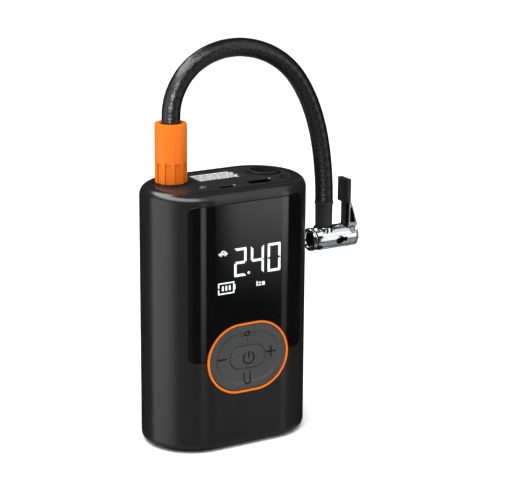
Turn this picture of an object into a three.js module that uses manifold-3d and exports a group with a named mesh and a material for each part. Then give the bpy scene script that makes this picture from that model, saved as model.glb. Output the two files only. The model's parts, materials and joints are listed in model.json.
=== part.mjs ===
// A hand-held tyre inflator: a tall stadium-section body with a display and a control pad on its front,
// ports in its top deck, and a short braided hose that arches over to a lever-lock valve chuck.
// Millimetres, +Z up, +X to the right of someone who reads the display, the display facing -Y.
// The origin is on the surface that the body stands on, at the middle of its footprint.
import * as THREE from 'three';
import { mergeVertices } from 'three/addons/utils/BufferGeometryUtils.js';
import Module from 'manifold-3d';

const wasm = await Module();
wasm.setup();

// ---- Driving dimensions ----

const gap = 0.3; // between two separate pieces that meet
const bodyWidth = 99;
const bodyDepth = 58;
const bodyHeight = 150;
const shoulderRadius = 6.5;
const baseRadius = 5;
const wall = 2.6;
const ledgeThickness = 3; // rims inside both ends of the housing
const ledgeWidth = 2.6;
const roundSides = 40; // facets round a full turn of the body

const deckInset = 8.2; // from the body's outline to the deck's
const deckThickness = 2.5;
const deckRecess = 0.3; // below the very top of the shoulder
const capInset = 7;
const capThickness = 2.7;

const portInset = 10.6; // of the hose port's axis from the deck's left-hand end
const portY = 4.6;
const portClearance = 0.4; // of the port's thread in the nut
const portHeight = 11.3; // of the threaded stub above the deck
const portBore = 2;
const portBossHeight = 0.8;
const socketInset = 12.3; // of its axis from the deck's right-hand end
const socketBore = 7.8;
const socketWall = 1;
const socketDepth = 37;
const socketRise = 1.5;
const socketMoat = 0.8;

const lensHalfWidth = 36.5;
const lensTop = 6.8; // below the top of the body
const lensPadRise = 1; // of its bottom edge above the middle of the pad
const lensThickness = 1.2;
const lensCorner = 4.5;

const padZ = 53;
const padStraight = 5.5; // half-length of the straight sides of the ring and the pad
const ringRadius = 20.5;
const ringBand = 1.3;
const ringDepth = 4;
const padThickness = 3.2;
const padDish = 0.9;
const padRim = 3.55;
const padTravel = 0.6;
const keyRadius = 6.5;
const keyStraight = 4.7;

const displayOverhang = 2; // past the flat of the body's front, on each side
const displayHeight = 32;
const displayZ = 105;
const displayDepth = 4.1;
const boardClearance = 0.4; // between the display module and the main board
const boardThickness = 1.6;

const cellRadius = 9.2;
const cellLength = 65;
const cellPitch = 19.2;
const cellY = 4;
const trayWall = 1.4;
const trayDepth = 10;

const boreRadius = 7.5;
const crankRadius = 5;
const gearModule = 1;
const gearTeeth = 34;
const pinionTeeth = 10;
const gearWidth = 4.6;
const rodThickness = 4;
const motorRadius = 12.2;
const motorLength = 26.2;
const motorPlateRim = 1.2; // of the gear frame's motor plate round the motor
const frameStandoff = 0.1; // of the motor plate above the upper cell tray
const compressorOffset = 8.2; // of the cylinder's axis from the hose port's
const cylinderWall = 1.5;
const cylinderLength = 18.6;
const rodLength = 32; // from the crank pin to the top of the piston seal

const nutRadius = 9;
const nutHeight = 33.4;
const nutRecesses = 10; // grip recesses round its foot
const nutRecessHeight = 11.5;
const nutRecessDepth = 0.8;
const nutShelf = 0.55; // that the nut bears on the hose tail with
const hoseDiameter = 10.5;
const hoseClearance = 0.5; // of the hose in the nut
const hoseSides = 12;
const hoseSteps = 40;

const chuckRadius = 7;
const ferruleRadius = 5;
const ferruleHeight = 15;
const leverPinRadius = 1.5;
const leverHalfWidth = 4.4;
const plungerTravel = 1.2;

// The middle line of the hose: x and z from the middle of the port, at the top of the deck.
const hoseRoute = [
  [0, 15.8], [0, 25.3], [0.1, 34.3], [1.1, 45.3], [4.7, 54.3], [10.9, 62.3], [19.2, 68.1],
  [28.7, 71.6], [38.7, 72.9], [48.7, 72.1], [58.7, 69.3], [67.7, 64.8], [75.7, 58.6],
  [82.2, 51.1], [87.4, 42.6], [91.7, 33.3], [95, 23.6], [97.4, 13.8], [99.1, 3.8],
  [100.2, -6.2], [100.8, -15.7], [100.9, -21.9],
];

// ---- Values that follow from the driving dimensions ----

const half = (bodyWidth - bodyDepth) / 2; // from the middle to the centre of each round end
const outerRadius = bodyDepth / 2;
const innerRadius = outerRadius - wall;
const frontY = -outerRadius;
const deckRadius = outerRadius - deckInset;
const deckTop = bodyHeight - deckRecess;
const deckBottom = deckTop - deckThickness;
const capRadius = outerRadius - capInset;
const portX = -(half + deckRadius - portInset);
const socketX = half + deckRadius - socketInset;
const hoseHole = hoseDiameter / 2 + hoseClearance;
const nutBore = hoseHole + nutShelf;
const portRadius = nutBore - portClearance;
const socketOuter = socketBore + socketWall;
const lensHigh = bodyHeight - lensTop;
const lensLow = padZ + lensPadRise;
const displayHalfWidth = half + displayOverhang;
const moduleFront = frontY + wall + gap;
const boardFront = moduleFront + displayDepth + boardClearance;
const boardBack = boardFront + boardThickness;
const trayLow = capThickness + gap;
const cellLow = trayLow + trayWall + gap;
const cellHigh = cellLow + cellLength;
const trayHigh = cellHigh + gap + trayWall;

// ---- Finishes ----

function finish(colour, roughness, metalness = 0) {
  return new THREE.MeshStandardMaterial({ color: colour, roughness, metalness });
}
const satinBlack = finish(0x1c1d1f, 0.4);
const matteBlack = finish(0x35373a, 0.65);
const glossBlack = finish(0x050506, 0.08);
const softBlack = finish(0x4a4b4e, 0.6);
const orange = finish(0xf5801a, 0.5);
const innerPlastic = finish(0x2a2b2e, 0.7);
const rubber = finish(0x151515, 0.85);
const boardGreen = finish(0x14532d, 0.6);
const steel = finish(0xb9bcc2, 0.35, 1);
const chrome = finish(0xe4e6ea, 0.08, 1);
const brass = finish(0xc9a24b, 0.35, 1);
const aluminium = finish(0xa9adb3, 0.45, 1);
const cellWrap = finish(0x2f7d84, 0.5);
const nylon = finish(0xe6e2d6, 0.6);
const clear = finish(0xf2f4f6, 0.2);
const labelGrey = finish(0xc9cbcd, 0.6);
const braid = finish(0x0d0d0e, 0.35);

// ---- Shape tools ----

// A closed three.js geometry as a manifold-3d solid.
function solid(geometry) {
  const bare = geometry.index ? geometry.toNonIndexed() : geometry.clone();
  bare.deleteAttribute('normal');
  bare.deleteAttribute('uv');
  const merged = mergeVertices(bare, 1e-4);
  return new wasm.Manifold(new wasm.Mesh({
    numProp: 3,
    vertProperties: merged.attributes.position.array,
    triVerts: new Uint32Array(merged.index.array),
  }));
}

// A manifold-3d solid as a three.js geometry.
function geometryOf(made) {
  const mesh = made.getMesh();
  const geometry = new THREE.BufferGeometry();
  geometry.setAttribute('position', new THREE.BufferAttribute(mesh.vertProperties, 3));
  geometry.setIndex(new THREE.BufferAttribute(mesh.triVerts, 1));
  return geometry;
}

function box(lowX, highX, lowY, highY, lowZ, highZ) {
  const geometry = new THREE.BoxGeometry(highX - lowX, highY - lowY, highZ - lowZ);
  geometry.translate((lowX + highX) / 2, (lowY + highY) / 2, (lowZ + highZ) / 2);
  return solid(geometry);
}

// A shape drawn in x and y, extruded up from low to high.
function prism(shape, low, high, curveSegments = 7) {
  const options = { depth: high - low, bevelEnabled: false, curveSegments };
  const geometry = new THREE.ExtrudeGeometry(shape, options);
  geometry.translate(0, 0, low);
  return solid(geometry);
}

// A shape drawn in x and z, extruded along Y from low to high.
function plate(shape, low, high, curveSegments = 7) {
  const options = { depth: high - low, bevelEnabled: false, curveSegments };
  const geometry = new THREE.ExtrudeGeometry(shape, options);
  geometry.rotateX(Math.PI / 2);
  geometry.translate(0, high, 0);
  return solid(geometry);
}

// A solid of revolution about the Z axis, from [radius, z] points that start and end on the axis.
function turned(profile, sides = 20) {
  const points = profile.map(([radius, z]) => new THREE.Vector2(radius, z));
  const geometry = new THREE.LatheGeometry(points, sides);
  geometry.rotateX(Math.PI / 2);
  return solid(geometry);
}

function rod(radius, low, high, sides = 20) {
  return turned([[0, low], [radius, low], [radius, high], [0, high]], sides);
}

// A rod whose axis lies along Y, through x and z.
function rodY(radius, low, high, x, z, sides = 20) {
  return rod(radius, low, high, sides).rotate([-90, 0, 0]).translate([x, 0, z]);
}

// A closed outline with straight sides along X and round ends.
function obround(radius, straight) {
  const shape = new THREE.Shape();
  shape.absarc(straight, 0, radius, -Math.PI / 2, Math.PI / 2);
  shape.absarc(-straight, 0, radius, Math.PI / 2, 1.5 * Math.PI);
  return shape;
}

function roundedRectangle(halfX, halfY, corner) {
  const shape = new THREE.Shape();
  shape.absarc(halfX - corner, -halfY + corner, corner, -Math.PI / 2, 0);
  shape.absarc(halfX - corner, halfY - corner, corner, 0, Math.PI / 2);
  shape.absarc(-halfX + corner, halfY - corner, corner, Math.PI / 2, Math.PI);
  shape.absarc(-halfX + corner, -halfY + corner, corner, Math.PI, 1.5 * Math.PI);
  return shape;
}

// A stadium-section solid with its own radius at each height: round ends joined by a straight middle.
function stadium(profile) {
  const end = turned(profile, roundSides);
  const mirrored = [...profile].reverse().map(([radius, z]) => [-radius, z]);
  const outline = [...profile, ...mirrored].map(([y, z]) => new THREE.Vector2(y, z));
  const distinct = outline.filter((point, k) => !point.equals(outline[(k + 1) % outline.length]));
  const options = { depth: 2 * half, bevelEnabled: false };
  const middle = new THREE.ExtrudeGeometry(new THREE.Shape(distinct), options);
  middle.rotateX(Math.PI / 2);
  middle.rotateZ(Math.PI / 2);
  middle.translate(-half, 0, 0);
  return end.translate([half, 0, 0]).add(end.translate([-half, 0, 0])).add(solid(middle));
}

function stadiumPrism(radius, low, high) {
  return stadium([[0, low], [radius, low], [radius, high], [0, high]]);
}

// The points of a quarter-round fillet between two directions, as [radius, z].
function filletPoints(centreRadius, centreZ, radius, from, to, steps) {
  return Array.from({ length: steps + 1 }, (unused, k) => {
    const angle = THREE.MathUtils.degToRad(from + ((to - from) * k) / steps);
    return [centreRadius + radius * Math.cos(angle), centreZ + radius * Math.sin(angle)];
  });
}

// A spur gear's outline, with straight-sided teeth and room for backlash.
function gearOutline(teeth, turn) {
  const pitchRadius = (gearModule * teeth) / 2;
  const levels = [[-0.31, -1.2], [-0.13, 0.9], [0.13, 0.9], [0.31, -1.2]];
  const points = [];
  for (let tooth = 0; tooth < teeth; tooth += 1) {
    for (const [share, height] of levels) {
      const angle = turn + ((tooth + share) * 2 * Math.PI) / teeth;
      const radius = pitchRadius + height * gearModule;
      points.push(new THREE.Vector2(radius * Math.cos(angle), radius * Math.sin(angle)));
    }
  }
  return new THREE.Shape(points);
}

const model = new THREE.Group();

function add(group, name, made, material) {
  const mesh = new THREE.Mesh(geometryOf(made), material);
  mesh.name = name;
  group.add(mesh);
  return mesh;
}

// ---- Housing ----

const bodyProfile = [
  [0, 0],
  ...filletPoints(outerRadius - baseRadius, baseRadius, baseRadius, -90, 0, 3),
  ...filletPoints(outerRadius - shoulderRadius, bodyHeight - shoulderRadius, shoulderRadius, 0, 90, 5),
  [0, bodyHeight],
];
const bodyForm = stadium(bodyProfile);
const ledgeLow = capThickness + gap + ledgeThickness;
const ledgeHigh = deckBottom - gap - ledgeThickness;

// What lies in front of the body's middle, inside an outline drawn in x and z.
function frontCut(shape, x, z) {
  return plate(shape, frontY - 1, 0).translate([x, 0, z]);
}

function lensOutline(grow) {
  return roundedRectangle(lensHalfWidth + grow, (lensHigh - lensLow) / 2 + grow, lensCorner + grow);
}
const lensMiddle = (lensLow + lensHigh) / 2;
const ringHole = frontCut(obround(ringRadius + gap, padStraight), 0, padZ);

function makeSleeve() {
  const cavity = stadiumPrism(innerRadius, ledgeLow, ledgeHigh);
  const topSeat = stadiumPrism(deckRadius + gap, deckBottom - gap, bodyHeight + 1);
  const topOpening = stadiumPrism(deckRadius + gap - ledgeWidth / 2, ledgeHigh - 1, bodyHeight);
  const baseSeat = stadiumPrism(capRadius + gap, -1, capThickness + gap);
  const baseOpening = stadiumPrism(capRadius + gap - 2 * ledgeWidth, 0, ledgeLow + 1);
  const lensSkin = stadiumPrism(outerRadius + 1, 0, bodyHeight)
    .subtract(stadiumPrism(outerRadius - lensThickness - gap, -1, bodyHeight + 1));
  const lensPocket = frontCut(lensOutline(gap), 0, lensMiddle).intersect(lensSkin);
  const windowHalf = displayHeight / 2 - 1;
  const displayWindow = frontCut(roundedRectangle(displayHalfWidth - 1, windowHalf, 1), 0, displayZ);
  const cuts = [cavity, topSeat, topOpening, baseSeat, baseOpening, lensPocket, ringHole, displayWindow];
  let sleeve = bodyForm;
  for (const cut of cuts) {
    sleeve = sleeve.subtract(cut);
  }
  for (const [x, y] of screwPlaces) {
    sleeve = sleeve.subtract(rod(screwRadius + gap, 0, ledgeLow + 1, 12).translate([x, y, 0]));
  }
  return sleeve;
}

// The four base screws stand on the round ends, in the rim that the base cap seats against.
const screwRadius = 1.2;
const screwHead = 2.3;
const screwHeadHeight = 1.4;
const screwLength = 5.2;
const screwReach = capRadius - screwHead - 0.8;
const screwAngle = THREE.MathUtils.degToRad(45);
const screwPlaces = [[1, -1], [1, 1], [-1, 1], [-1, -1]].map(([sideX, sideY]) => [
  sideX * (half + screwReach * Math.cos(screwAngle)),
  sideY * screwReach * Math.sin(screwAngle),
]);

add(model, 'housing_sleeve', makeSleeve(), satinBlack);

function makeBaseCap() {
  let cap = stadiumPrism(capRadius, 0, capThickness);
  for (const [x, y] of screwPlaces) {
    const bore = rod(screwRadius + gap, -1, capThickness + 1, 12);
    const headSeat = rod(screwHead + gap, -1, screwHeadHeight + 2 * gap, 16);
    cap = cap.subtract(bore.add(headSeat).translate([x, y, 0]));
  }
  return cap;
}
add(model, 'base_cap', makeBaseCap(), satinBlack);

function makeBaseScrew() {
  const body = turned([
    [0, gap], [screwHead, gap], [screwHead, gap + screwHeadHeight],
    [screwRadius, gap + screwHeadHeight], [screwRadius, gap + screwLength], [0, gap + screwLength],
  ], 16);
  const slotLong = box(-1.5, 1.5, -0.25, 0.25, gap - 1, gap + 0.8);
  const slotAcross = box(-0.25, 0.25, -1.5, 1.5, gap - 1, gap + 0.8);
  return body.subtract(slotLong.add(slotAcross));
}
screwPlaces.forEach(([x, y], k) => {
  add(model, `base_screw_${k + 1}`, makeBaseScrew(), steel).position.set(x, y, 0);
});

function makeLens() {
  const skin = bodyForm.subtract(stadiumPrism(outerRadius - lensThickness, -1, bodyHeight + 1));
  return frontCut(lensOutline(0), 0, lensMiddle).intersect(skin).subtract(ringHole);
}
add(model, 'display_lens', makeLens(), glossBlack);

// ---- Top deck and its ports ----

const usbA = { x: 15.2, y: -deckRadius + 6.9, halfX: 6.95, halfY: 3.05, corner: 0.5, depth: 14 };
const usbC = { x: -7.4, y: -deckRadius + 4.4, halfX: 4.47, halfY: 1.63, corner: 1.55, depth: 14 };
const lamp = { x: -18.7, y: -deckRadius + 10.2, radius: 3.4 };
const lightRadius = 0.75;
const lights = [
  { name: 'charge_light', x: usbC.x + 5.9, y: usbC.y + 1.4 },
  { name: 'output_light', x: usbA.x + 8.5, y: usbA.y + 3.4 },
];
const panel = {
  lowX: portX + 15.2, highX: socketX - socketOuter - 5.3, lowY: 0, highY: 14.8, depth: 0.6, thickness: 0.4,
};
const vent = {
  low: deckRadius - 5.9, high: deckRadius - 2.7, from: -62, to: -24, slots: 6, depth: 1.5, rim: 0.6,
};

// A slice of a ring about the right-hand end centre.
function ventBand(low, high, from, to) {
  const shape = new THREE.Shape();
  const start = THREE.MathUtils.degToRad(from);
  const end = THREE.MathUtils.degToRad(to);
  shape.absarc(0, 0, high, start, end, false);
  shape.absarc(0, 0, low, end, start, true);
  return shape;
}

function portSlot(port, grow, low, high) {
  const outline = roundedRectangle(port.halfX + grow, port.halfY + grow, port.corner + grow);
  return prism(outline, low, high, 4).translate([port.x, port.y, 0]);
}

function makeDeck() {
  const boss = rod(portRadius + 2.3, deckTop - 1, deckTop + portBossHeight, 32).translate([portX, portY, 0]);
  let deck = stadiumPrism(deckRadius, deckBottom, deckTop).add(boss);
  const through = [deckBottom - 1, deckTop + 2];
  const cuts = [
    rod(portRadius + 2 * gap, ...through, 32).translate([portX, portY, 0]),
    rod(socketOuter + socketMoat, ...through, 40).translate([socketX, portY, 0]),
    portSlot(usbA, gap, ...through),
    portSlot(usbC, gap, ...through),
    rod(lamp.radius + gap, ...through).translate([lamp.x, lamp.y, 0]),
    ...lights.map(({ x, y }) => rod(lightRadius + gap, ...through, 12).translate([x, y, 0])),
    box(
      panel.lowX - gap, panel.highX + gap, panel.lowY - gap, panel.highY + gap,
      deckTop - panel.depth, deckTop + 1,
    ),
    prism(ventBand(vent.low - gap, vent.high + gap, vent.from - 1, vent.to + 1), ...through, 10)
      .translate([half, 0, 0]),
  ];
  for (const cut of cuts) {
    deck = deck.subtract(cut);
  }
  return deck;
}
add(model, 'top_deck', makeDeck(), matteBlack);

function makeVent() {
  let grille = prism(ventBand(vent.low, vent.high, vent.from, vent.to), deckTop - vent.depth, deckTop, 10);
  const pitch = (vent.to - vent.from) / vent.slots;
  for (let k = 0; k < vent.slots; k += 1) {
    const from = vent.from + (k + 0.25) * pitch;
    const slot = ventBand(vent.low + vent.rim, vent.high - vent.rim, from, from + pitch / 2);
    grille = grille.subtract(prism(slot, deckTop - vent.depth - 1, deckTop + 1, 2));
  }
  return grille.translate([half, 0, 0]);
}
add(model, 'vent_grille', makeVent(), innerPlastic);

const panelTop = deckTop - panel.depth + gap + panel.thickness;
add(model, 'info_panel', box(
  panel.lowX, panel.highX, panel.lowY, panel.highY, panelTop - panel.thickness, panelTop,
), labelGrey);

// The stowage socket: a deep cup whose rim stands above the deck inside a narrow moat.
function makeSocketCup() {
  const top = deckTop + socketRise;
  const low = top - socketDepth - 2 * socketWall;
  const cup = turned([
    [0, low], [socketOuter, low], [socketOuter, top - 0.4], [socketOuter - 0.4, top],
    [socketBore, top], [socketBore, low + 2 * socketWall], [0, low + 2 * socketWall],
  ], 40);
  const tab = rod(socketOuter + socketMoat + 1.8, deckBottom - gap - 1.5, deckBottom - gap, 40)
    .subtract(rod(socketOuter - 0.5, 0, bodyHeight, 40));
  const clearOfRim = stadiumPrism(deckRadius - ledgeWidth / 2, 0, bodyHeight);
  return cup.add(tab.intersect(clearOfRim.translate([-socketX, -portY, 0]))).translate([socketX, portY, 0]);
}
add(model, 'socket_cup', makeSocketCup(), innerPlastic);

const portBoardTop = deckTop - gap - usbA.depth;
function makeReceptacle(port, mouthX, mouthY, tongueY) {
  const top = deckTop - gap;
  const mouth = roundedRectangle(mouthX, mouthY, Math.min(port.corner, mouthY - 0.05));
  return portSlot(port, 0, top - port.depth, top)
    .subtract(prism(mouth, top - port.depth + 2, top + 1, 4).translate([port.x, port.y, 0]))
    .add(box(
      port.x - mouthX * 0.85, port.x + mouthX * 0.85,
      port.y + tongueY - 0.45, port.y + tongueY + 0.45, top - port.depth + 1, top - 1.2,
    ));
}
add(model, 'usb_a_port', makeReceptacle(usbA, 6.3, 2.5, 1.2), steel);
add(model, 'usb_c_port', makeReceptacle(usbC, 4.1, 1.25, 0), steel);

for (const { name, x, y } of lights) {
  add(model, name, rod(lightRadius, portBoardTop, deckTop + 0.2, 12), clear).position.set(x, y, 0);
}

const lampLens = turned([
  [0, deckBottom - 0.4], [lamp.radius, deckBottom - 0.4], [lamp.radius, deckTop - 0.5], [2.5, deckTop - 0.3],
  [2.3, deckTop + 0.3], [1.4, deckTop + 0.8], [0, deckTop + 0.95],
]);
add(model, 'lamp_lens', lampLens, clear).position.set(lamp.x, lamp.y, 0);
const lampSeat = deckBottom - 0.4 - gap;
add(model, 'lamp_led', rod(2.6, lampSeat - 2, lampSeat, 16), nylon).position.set(lamp.x, lamp.y, 0);

// ---- Display and control pad ----

const moduleShell = box(
  -displayHalfWidth, displayHalfWidth, moduleFront, moduleFront + displayDepth,
  displayZ - displayHeight / 2, displayZ + displayHeight / 2,
);
const moduleFace = box(
  -displayHalfWidth + 2, displayHalfWidth - 2, moduleFront - 1, moduleFront + 1,
  displayZ - displayHeight / 2 + 2, displayZ + displayHeight / 2 - 2,
);
add(model, 'display_module', moduleShell.subtract(moduleFace), innerPlastic);

function makeButtonRing() {
  const bezel = plate(obround(ringRadius, padStraight), frontY, frontY + ringDepth);
  const flange = plate(obround(ringRadius + 2, padStraight), frontY + wall + gap, frontY + ringDepth);
  const insideWall = stadiumPrism(innerRadius - gap, 0, bodyHeight).translate([0, 0, -padZ]);
  const opening = plate(obround(ringRadius - ringBand, padStraight), frontY - 1, frontY + ringDepth + 1);
  return bezel.add(flange.intersect(insideWall)).subtract(opening);
}
add(model, 'button_ring', makeButtonRing(), orange).position.z = padZ;

const padRadius = ringRadius - ringBand - gap - 0.05;
const padFront = frontY + 0.2;
const padBack = padFront + padThickness;
const matTip = boardFront - 1.8;
const pipRadius = 1.2;
const pipPlaces = [[padStraight + 16, 0], [-padStraight - 16, 0], [0, 16], [0, -16]];

function makePad() {
  let pad = plate(obround(padRadius, padStraight), padFront, padBack);
  pad = pad.subtract(plate(obround(padRadius - padRim, padStraight), padFront - 1, padFront + padDish));
  for (const [x, z] of pipPlaces) {
    pad = pad.add(rodY(pipRadius, padBack - 0.5, matTip - padTravel, x, z, 12));
  }
  return pad.subtract(plate(obround(keyRadius + gap + 0.05, keyStraight), padFront - 1, padBack + 1));
}
add(model, 'direction_pad', makePad(), softBlack).position.z = padZ;

const keyFront = frontY + 0.1;
const keyFlange = padBack + 0.5;
const keyBack = matTip - padTravel - 0.2;
const keyBody = plate(obround(keyRadius, keyStraight), keyFront, keyFlange + 0.2)
  .add(plate(obround(keyRadius + 1.1, keyStraight), keyFlange, keyBack));
add(model, 'power_key', keyBody, softBlack).position.z = padZ;

// The flexure lets the pad rock both ways: it turns about X in the housing, and the pad turns about Z on it.
function makeFlexure() {
  const ring = plate(obround(13, padStraight), keyFlange, keyBack);
  const ears = box(-2, 2, keyFlange, keyBack, -14, 14)
    .add(box(-padStraight - 14.5, padStraight + 14.5, keyFlange, keyBack, -1.5, 1.5));
  return ring.add(ears).subtract(plate(obround(keyRadius + 2.1, keyStraight), keyFlange - 1, keyBack + 1));
}
add(model, 'pad_flexure', makeFlexure(), innerPlastic).position.z = padZ;

function makeKeyMat() {
  const sheetFront = boardFront - gap - 0.8;
  let mat = plate(obround(padRadius, padStraight), sheetFront, boardFront - gap);
  for (const [x, z] of [[0, 0], ...pipPlaces]) {
    mat = mat.add(rodY(2, matTip, sheetFront + 0.2, x, z, 12));
  }
  return mat;
}
add(model, 'key_mat', makeKeyMat(), rubber).position.z = padZ;

// ---- Electronics and cells ----

const boardLow = padZ - ringRadius - 2.5;
const boardHigh = portBoardTop + 0.3;
add(model, 'main_board', box(-26, 26, boardFront, boardBack, boardLow, boardHigh), boardGreen);
add(model, 'port_board', box(
  usbC.x - 4.6, usbA.x + 9.6, boardBack + 0.8, usbA.y + 4.6, portBoardTop - gap - 1.6, portBoardTop - gap,
), boardGreen);

const cellPlaces = [-cellPitch, 0, cellPitch];
cellPlaces.forEach((x, k) => {
  const cell = turned([
    [0, cellLow], [cellRadius - 0.6, cellLow], [cellRadius, cellLow + 0.6], [cellRadius, cellHigh - 1.6],
    [cellRadius - 0.6, cellHigh - 1], [3, cellHigh - 1], [3, cellHigh], [0, cellHigh],
  ]);
  add(model, `battery_cell_${k + 1}`, cell, cellWrap).position.set(x, cellY, 0);
});

// A tray with three pockets, its floor at z = 0 and its mouths up.
function makeTray() {
  const halfX = cellPitch + cellRadius + gap + trayWall;
  const halfY = cellRadius + gap + trayWall;
  let tray = prism(roundedRectangle(halfX, halfY, 4), 0, trayDepth, 4);
  for (const x of cellPlaces) {
    tray = tray.subtract(rod(cellRadius + gap, trayWall, trayDepth + 1).translate([x, 0, 0]));
  }
  return tray;
}
add(model, 'cell_tray_lower', makeTray(), innerPlastic).position.set(0, cellY, trayLow);
const upperTray = add(model, 'cell_tray_upper', makeTray(), innerPlastic);
upperTray.position.set(0, cellY, trayHigh);
upperTray.rotation.x = Math.PI;

// ---- Compressor ----

// The gear frame stands on the upper cell tray, and all that it carries is stacked up from it.
const compressorX = portX + compressorOffset;
const shaftDistance = (gearModule * (gearTeeth + pinionTeeth)) / 2;
const motorAngle = THREE.MathUtils.degToRad(-30);
const motorX = compressorX + shaftDistance * Math.cos(motorAngle);
const motorZ = trayHigh + frameStandoff + motorPlateRim + motorRadius;
const crankZ = motorZ - shaftDistance * Math.sin(motorAngle);
const pinZ = crankZ + crankRadius; // of the crank pin at the top of its stroke
const cylinderHigh = pinZ + rodLength + gap;
const cylinderLow = cylinderHigh - cylinderLength;
const headLow = cylinderHigh + gap;
const rodBack = portY + rodThickness / 2;
const gearFront = rodBack + 3.8;
const gearBack = gearFront + gearWidth;
const gearTip = (gearModule * gearTeeth) / 2 + 0.9 * gearModule;
const motorPlateFront = gearFront - gap - 1.6;
const motorFace = motorPlateFront - gap;
const motorRear = motorFace - motorLength;
const capLength = 2.5;
const axleRadius = 2.5;
const pinRadius = 2;
const bearingRadius = 5.5;
const rearPlate = gearBack + 0.6;
const rearPlateBack = rearPlate + 2.4;

// Everything that turns or slides here has its axis along Y, or along Z above the crank.
const motorBody = rodY(motorRadius, motorRear + capLength + gap, motorFace, motorX, motorZ, 32)
  .subtract(rodY(2.2, motorRear, motorFace + 1, motorX, motorZ, 16));
add(model, 'motor_can', motorBody, steel);
const brushCap = rodY(motorRadius - 0.4, motorRear, motorRear + capLength, motorX, motorZ, 32)
  .subtract(rodY(1.6, motorRear + 0.8, motorFace, motorX, motorZ, 16));
add(model, 'motor_end_cap', brushCap, innerPlastic);
const shaftRadius = 1.15;
add(model, 'motor_shaft', rodY(shaftRadius, motorRear + 1.2, gearBack + 0.3, motorX, motorZ, 12), steel);

// The pinion's tooth gap faces a tooth of the crank gear along the line between their centres.
const gearTurn = -motorAngle;
const pinionTurn = Math.PI - motorAngle + Math.PI / pinionTeeth;
function makeGear(teeth, turn, boreRadiusOfGear, x, z) {
  const outline = gearOutline(teeth, -turn);
  return plate(outline, gearFront, gearBack).translate([x, 0, z])
    .subtract(rodY(boreRadiusOfGear, gearFront - 1, gearBack + 1, x, z, 16));
}
add(model, 'drive_pinion', makeGear(pinionTeeth, pinionTurn, shaftRadius + gap, motorX, motorZ), brass);
const crankGear = makeGear(gearTeeth, gearTurn, axleRadius + gap, compressorX, crankZ)
  .subtract(rodY(pinRadius + gap, gearFront - 1, gearBack + 1, compressorX, pinZ, 16));
add(model, 'crank_gear', crankGear, nylon);
const crankAxle = rodY(axleRadius, gearFront + 0.4, rearPlateBack + 2, compressorX, crankZ, 16);
add(model, 'crank_axle', crankAxle, steel);
// The pin stops short of the rod: this is the pivot that the linkage is opened at.
add(model, 'crank_pin', rodY(pinRadius, rodBack + 0.4, gearBack - 0.4, compressorX, pinZ, 16), steel);
const bearing = rodY(bearingRadius, rearPlate + gap, rearPlateBack + 1.6, compressorX, crankZ)
  .subtract(rodY(axleRadius + gap, 0, bodyDepth, compressorX, crankZ, 16));
add(model, 'crank_bearing', bearing, steel);

// The frame joins the plate behind the gear, the plate that holds the motor, and the cylinder's shelf.
function makeGearFrame() {
  const shelfLow = crankZ + gearTip + 0.9;
  const shelfHigh = shelfLow + 2;
  const left = compressorX - 11.5;
  const right = motorX + motorRadius;
  const low = motorZ - motorRadius + 0.4;
  const rear = box(left, right, rearPlate, rearPlateBack, low, shelfHigh);
  const shelf = box(left, compressorX + 11.5, portY - 9.6, rearPlateBack, shelfLow, shelfHigh);
  const plateRadius = motorRadius + motorPlateRim;
  const motorPlate = rodY(plateRadius, motorPlateFront, motorPlateFront + 1.6, motorX, motorZ, 32);
  const sideWeb = box(right - 3.4, right, motorPlateFront, rearPlate + 1, motorZ - 6, motorZ + 6);
  const lowWeb = box(motorX - 5, motorX + 3, motorPlateFront, rearPlate + 1, low, low + 3);
  return rear.add(shelf).add(motorPlate).add(sideWeb).add(lowWeb)
    .subtract(rodY(4, motorPlateFront - 1, rearPlate, motorX, motorZ))
    .subtract(rodY(bearingRadius + gap, rearPlate - 1, rearPlateBack + 1, compressorX, crankZ))
    .subtract(rod(boreRadius + cylinderWall + gap, shelfLow - 1, shelfHigh + 1, 32)
      .translate([compressorX, portY, 0]));
}
add(model, 'gear_frame', makeGearFrame(), aluminium);

const shelfTop = crankZ + gearTip + 2.9;
function makeCylinder() {
  const outer = boreRadius + cylinderWall;
  let body = rod(outer, cylinderLow, cylinderHigh).add(rod(outer + 2, shelfTop + gap, shelfTop + gap + 1.2));
  for (const height of [6, 11]) {
    body = body.add(rod(outer + 1.4, shelfTop + height, shelfTop + height + 1.2));
  }
  return body.subtract(rod(boreRadius, cylinderLow - 1, cylinderHigh + 1));
}
add(model, 'cylinder', makeCylinder(), aluminium).position.set(compressorX, portY, 0);

const sealTop = cylinderHigh - gap;
add(model, 'piston_seal', rod(boreRadius - 0.25, sealTop - 1.2, sealTop), rubber)
  .position.set(compressorX, portY, 0);
function makePistonRod() {
  const crownTop = sealTop - 1.2 - gap;
  const crown = rod(boreRadius - 0.4, crownTop - 2.6, crownTop).translate([compressorX, portY, 0]);
  const rodFront = rodBack - rodThickness;
  const shank = box(compressorX - 2.3, compressorX + 2.3, rodFront, rodBack, pinZ, crownTop - 1);
  const bigEnd = rodY(4, rodFront, rodBack, compressorX, pinZ);
  return crown.add(shank).add(bigEnd).subtract(rodY(pinRadius + gap, 0, bodyDepth, compressorX, pinZ, 16));
}
add(model, 'piston_rod', makePistonRod(), aluminium);

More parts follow.
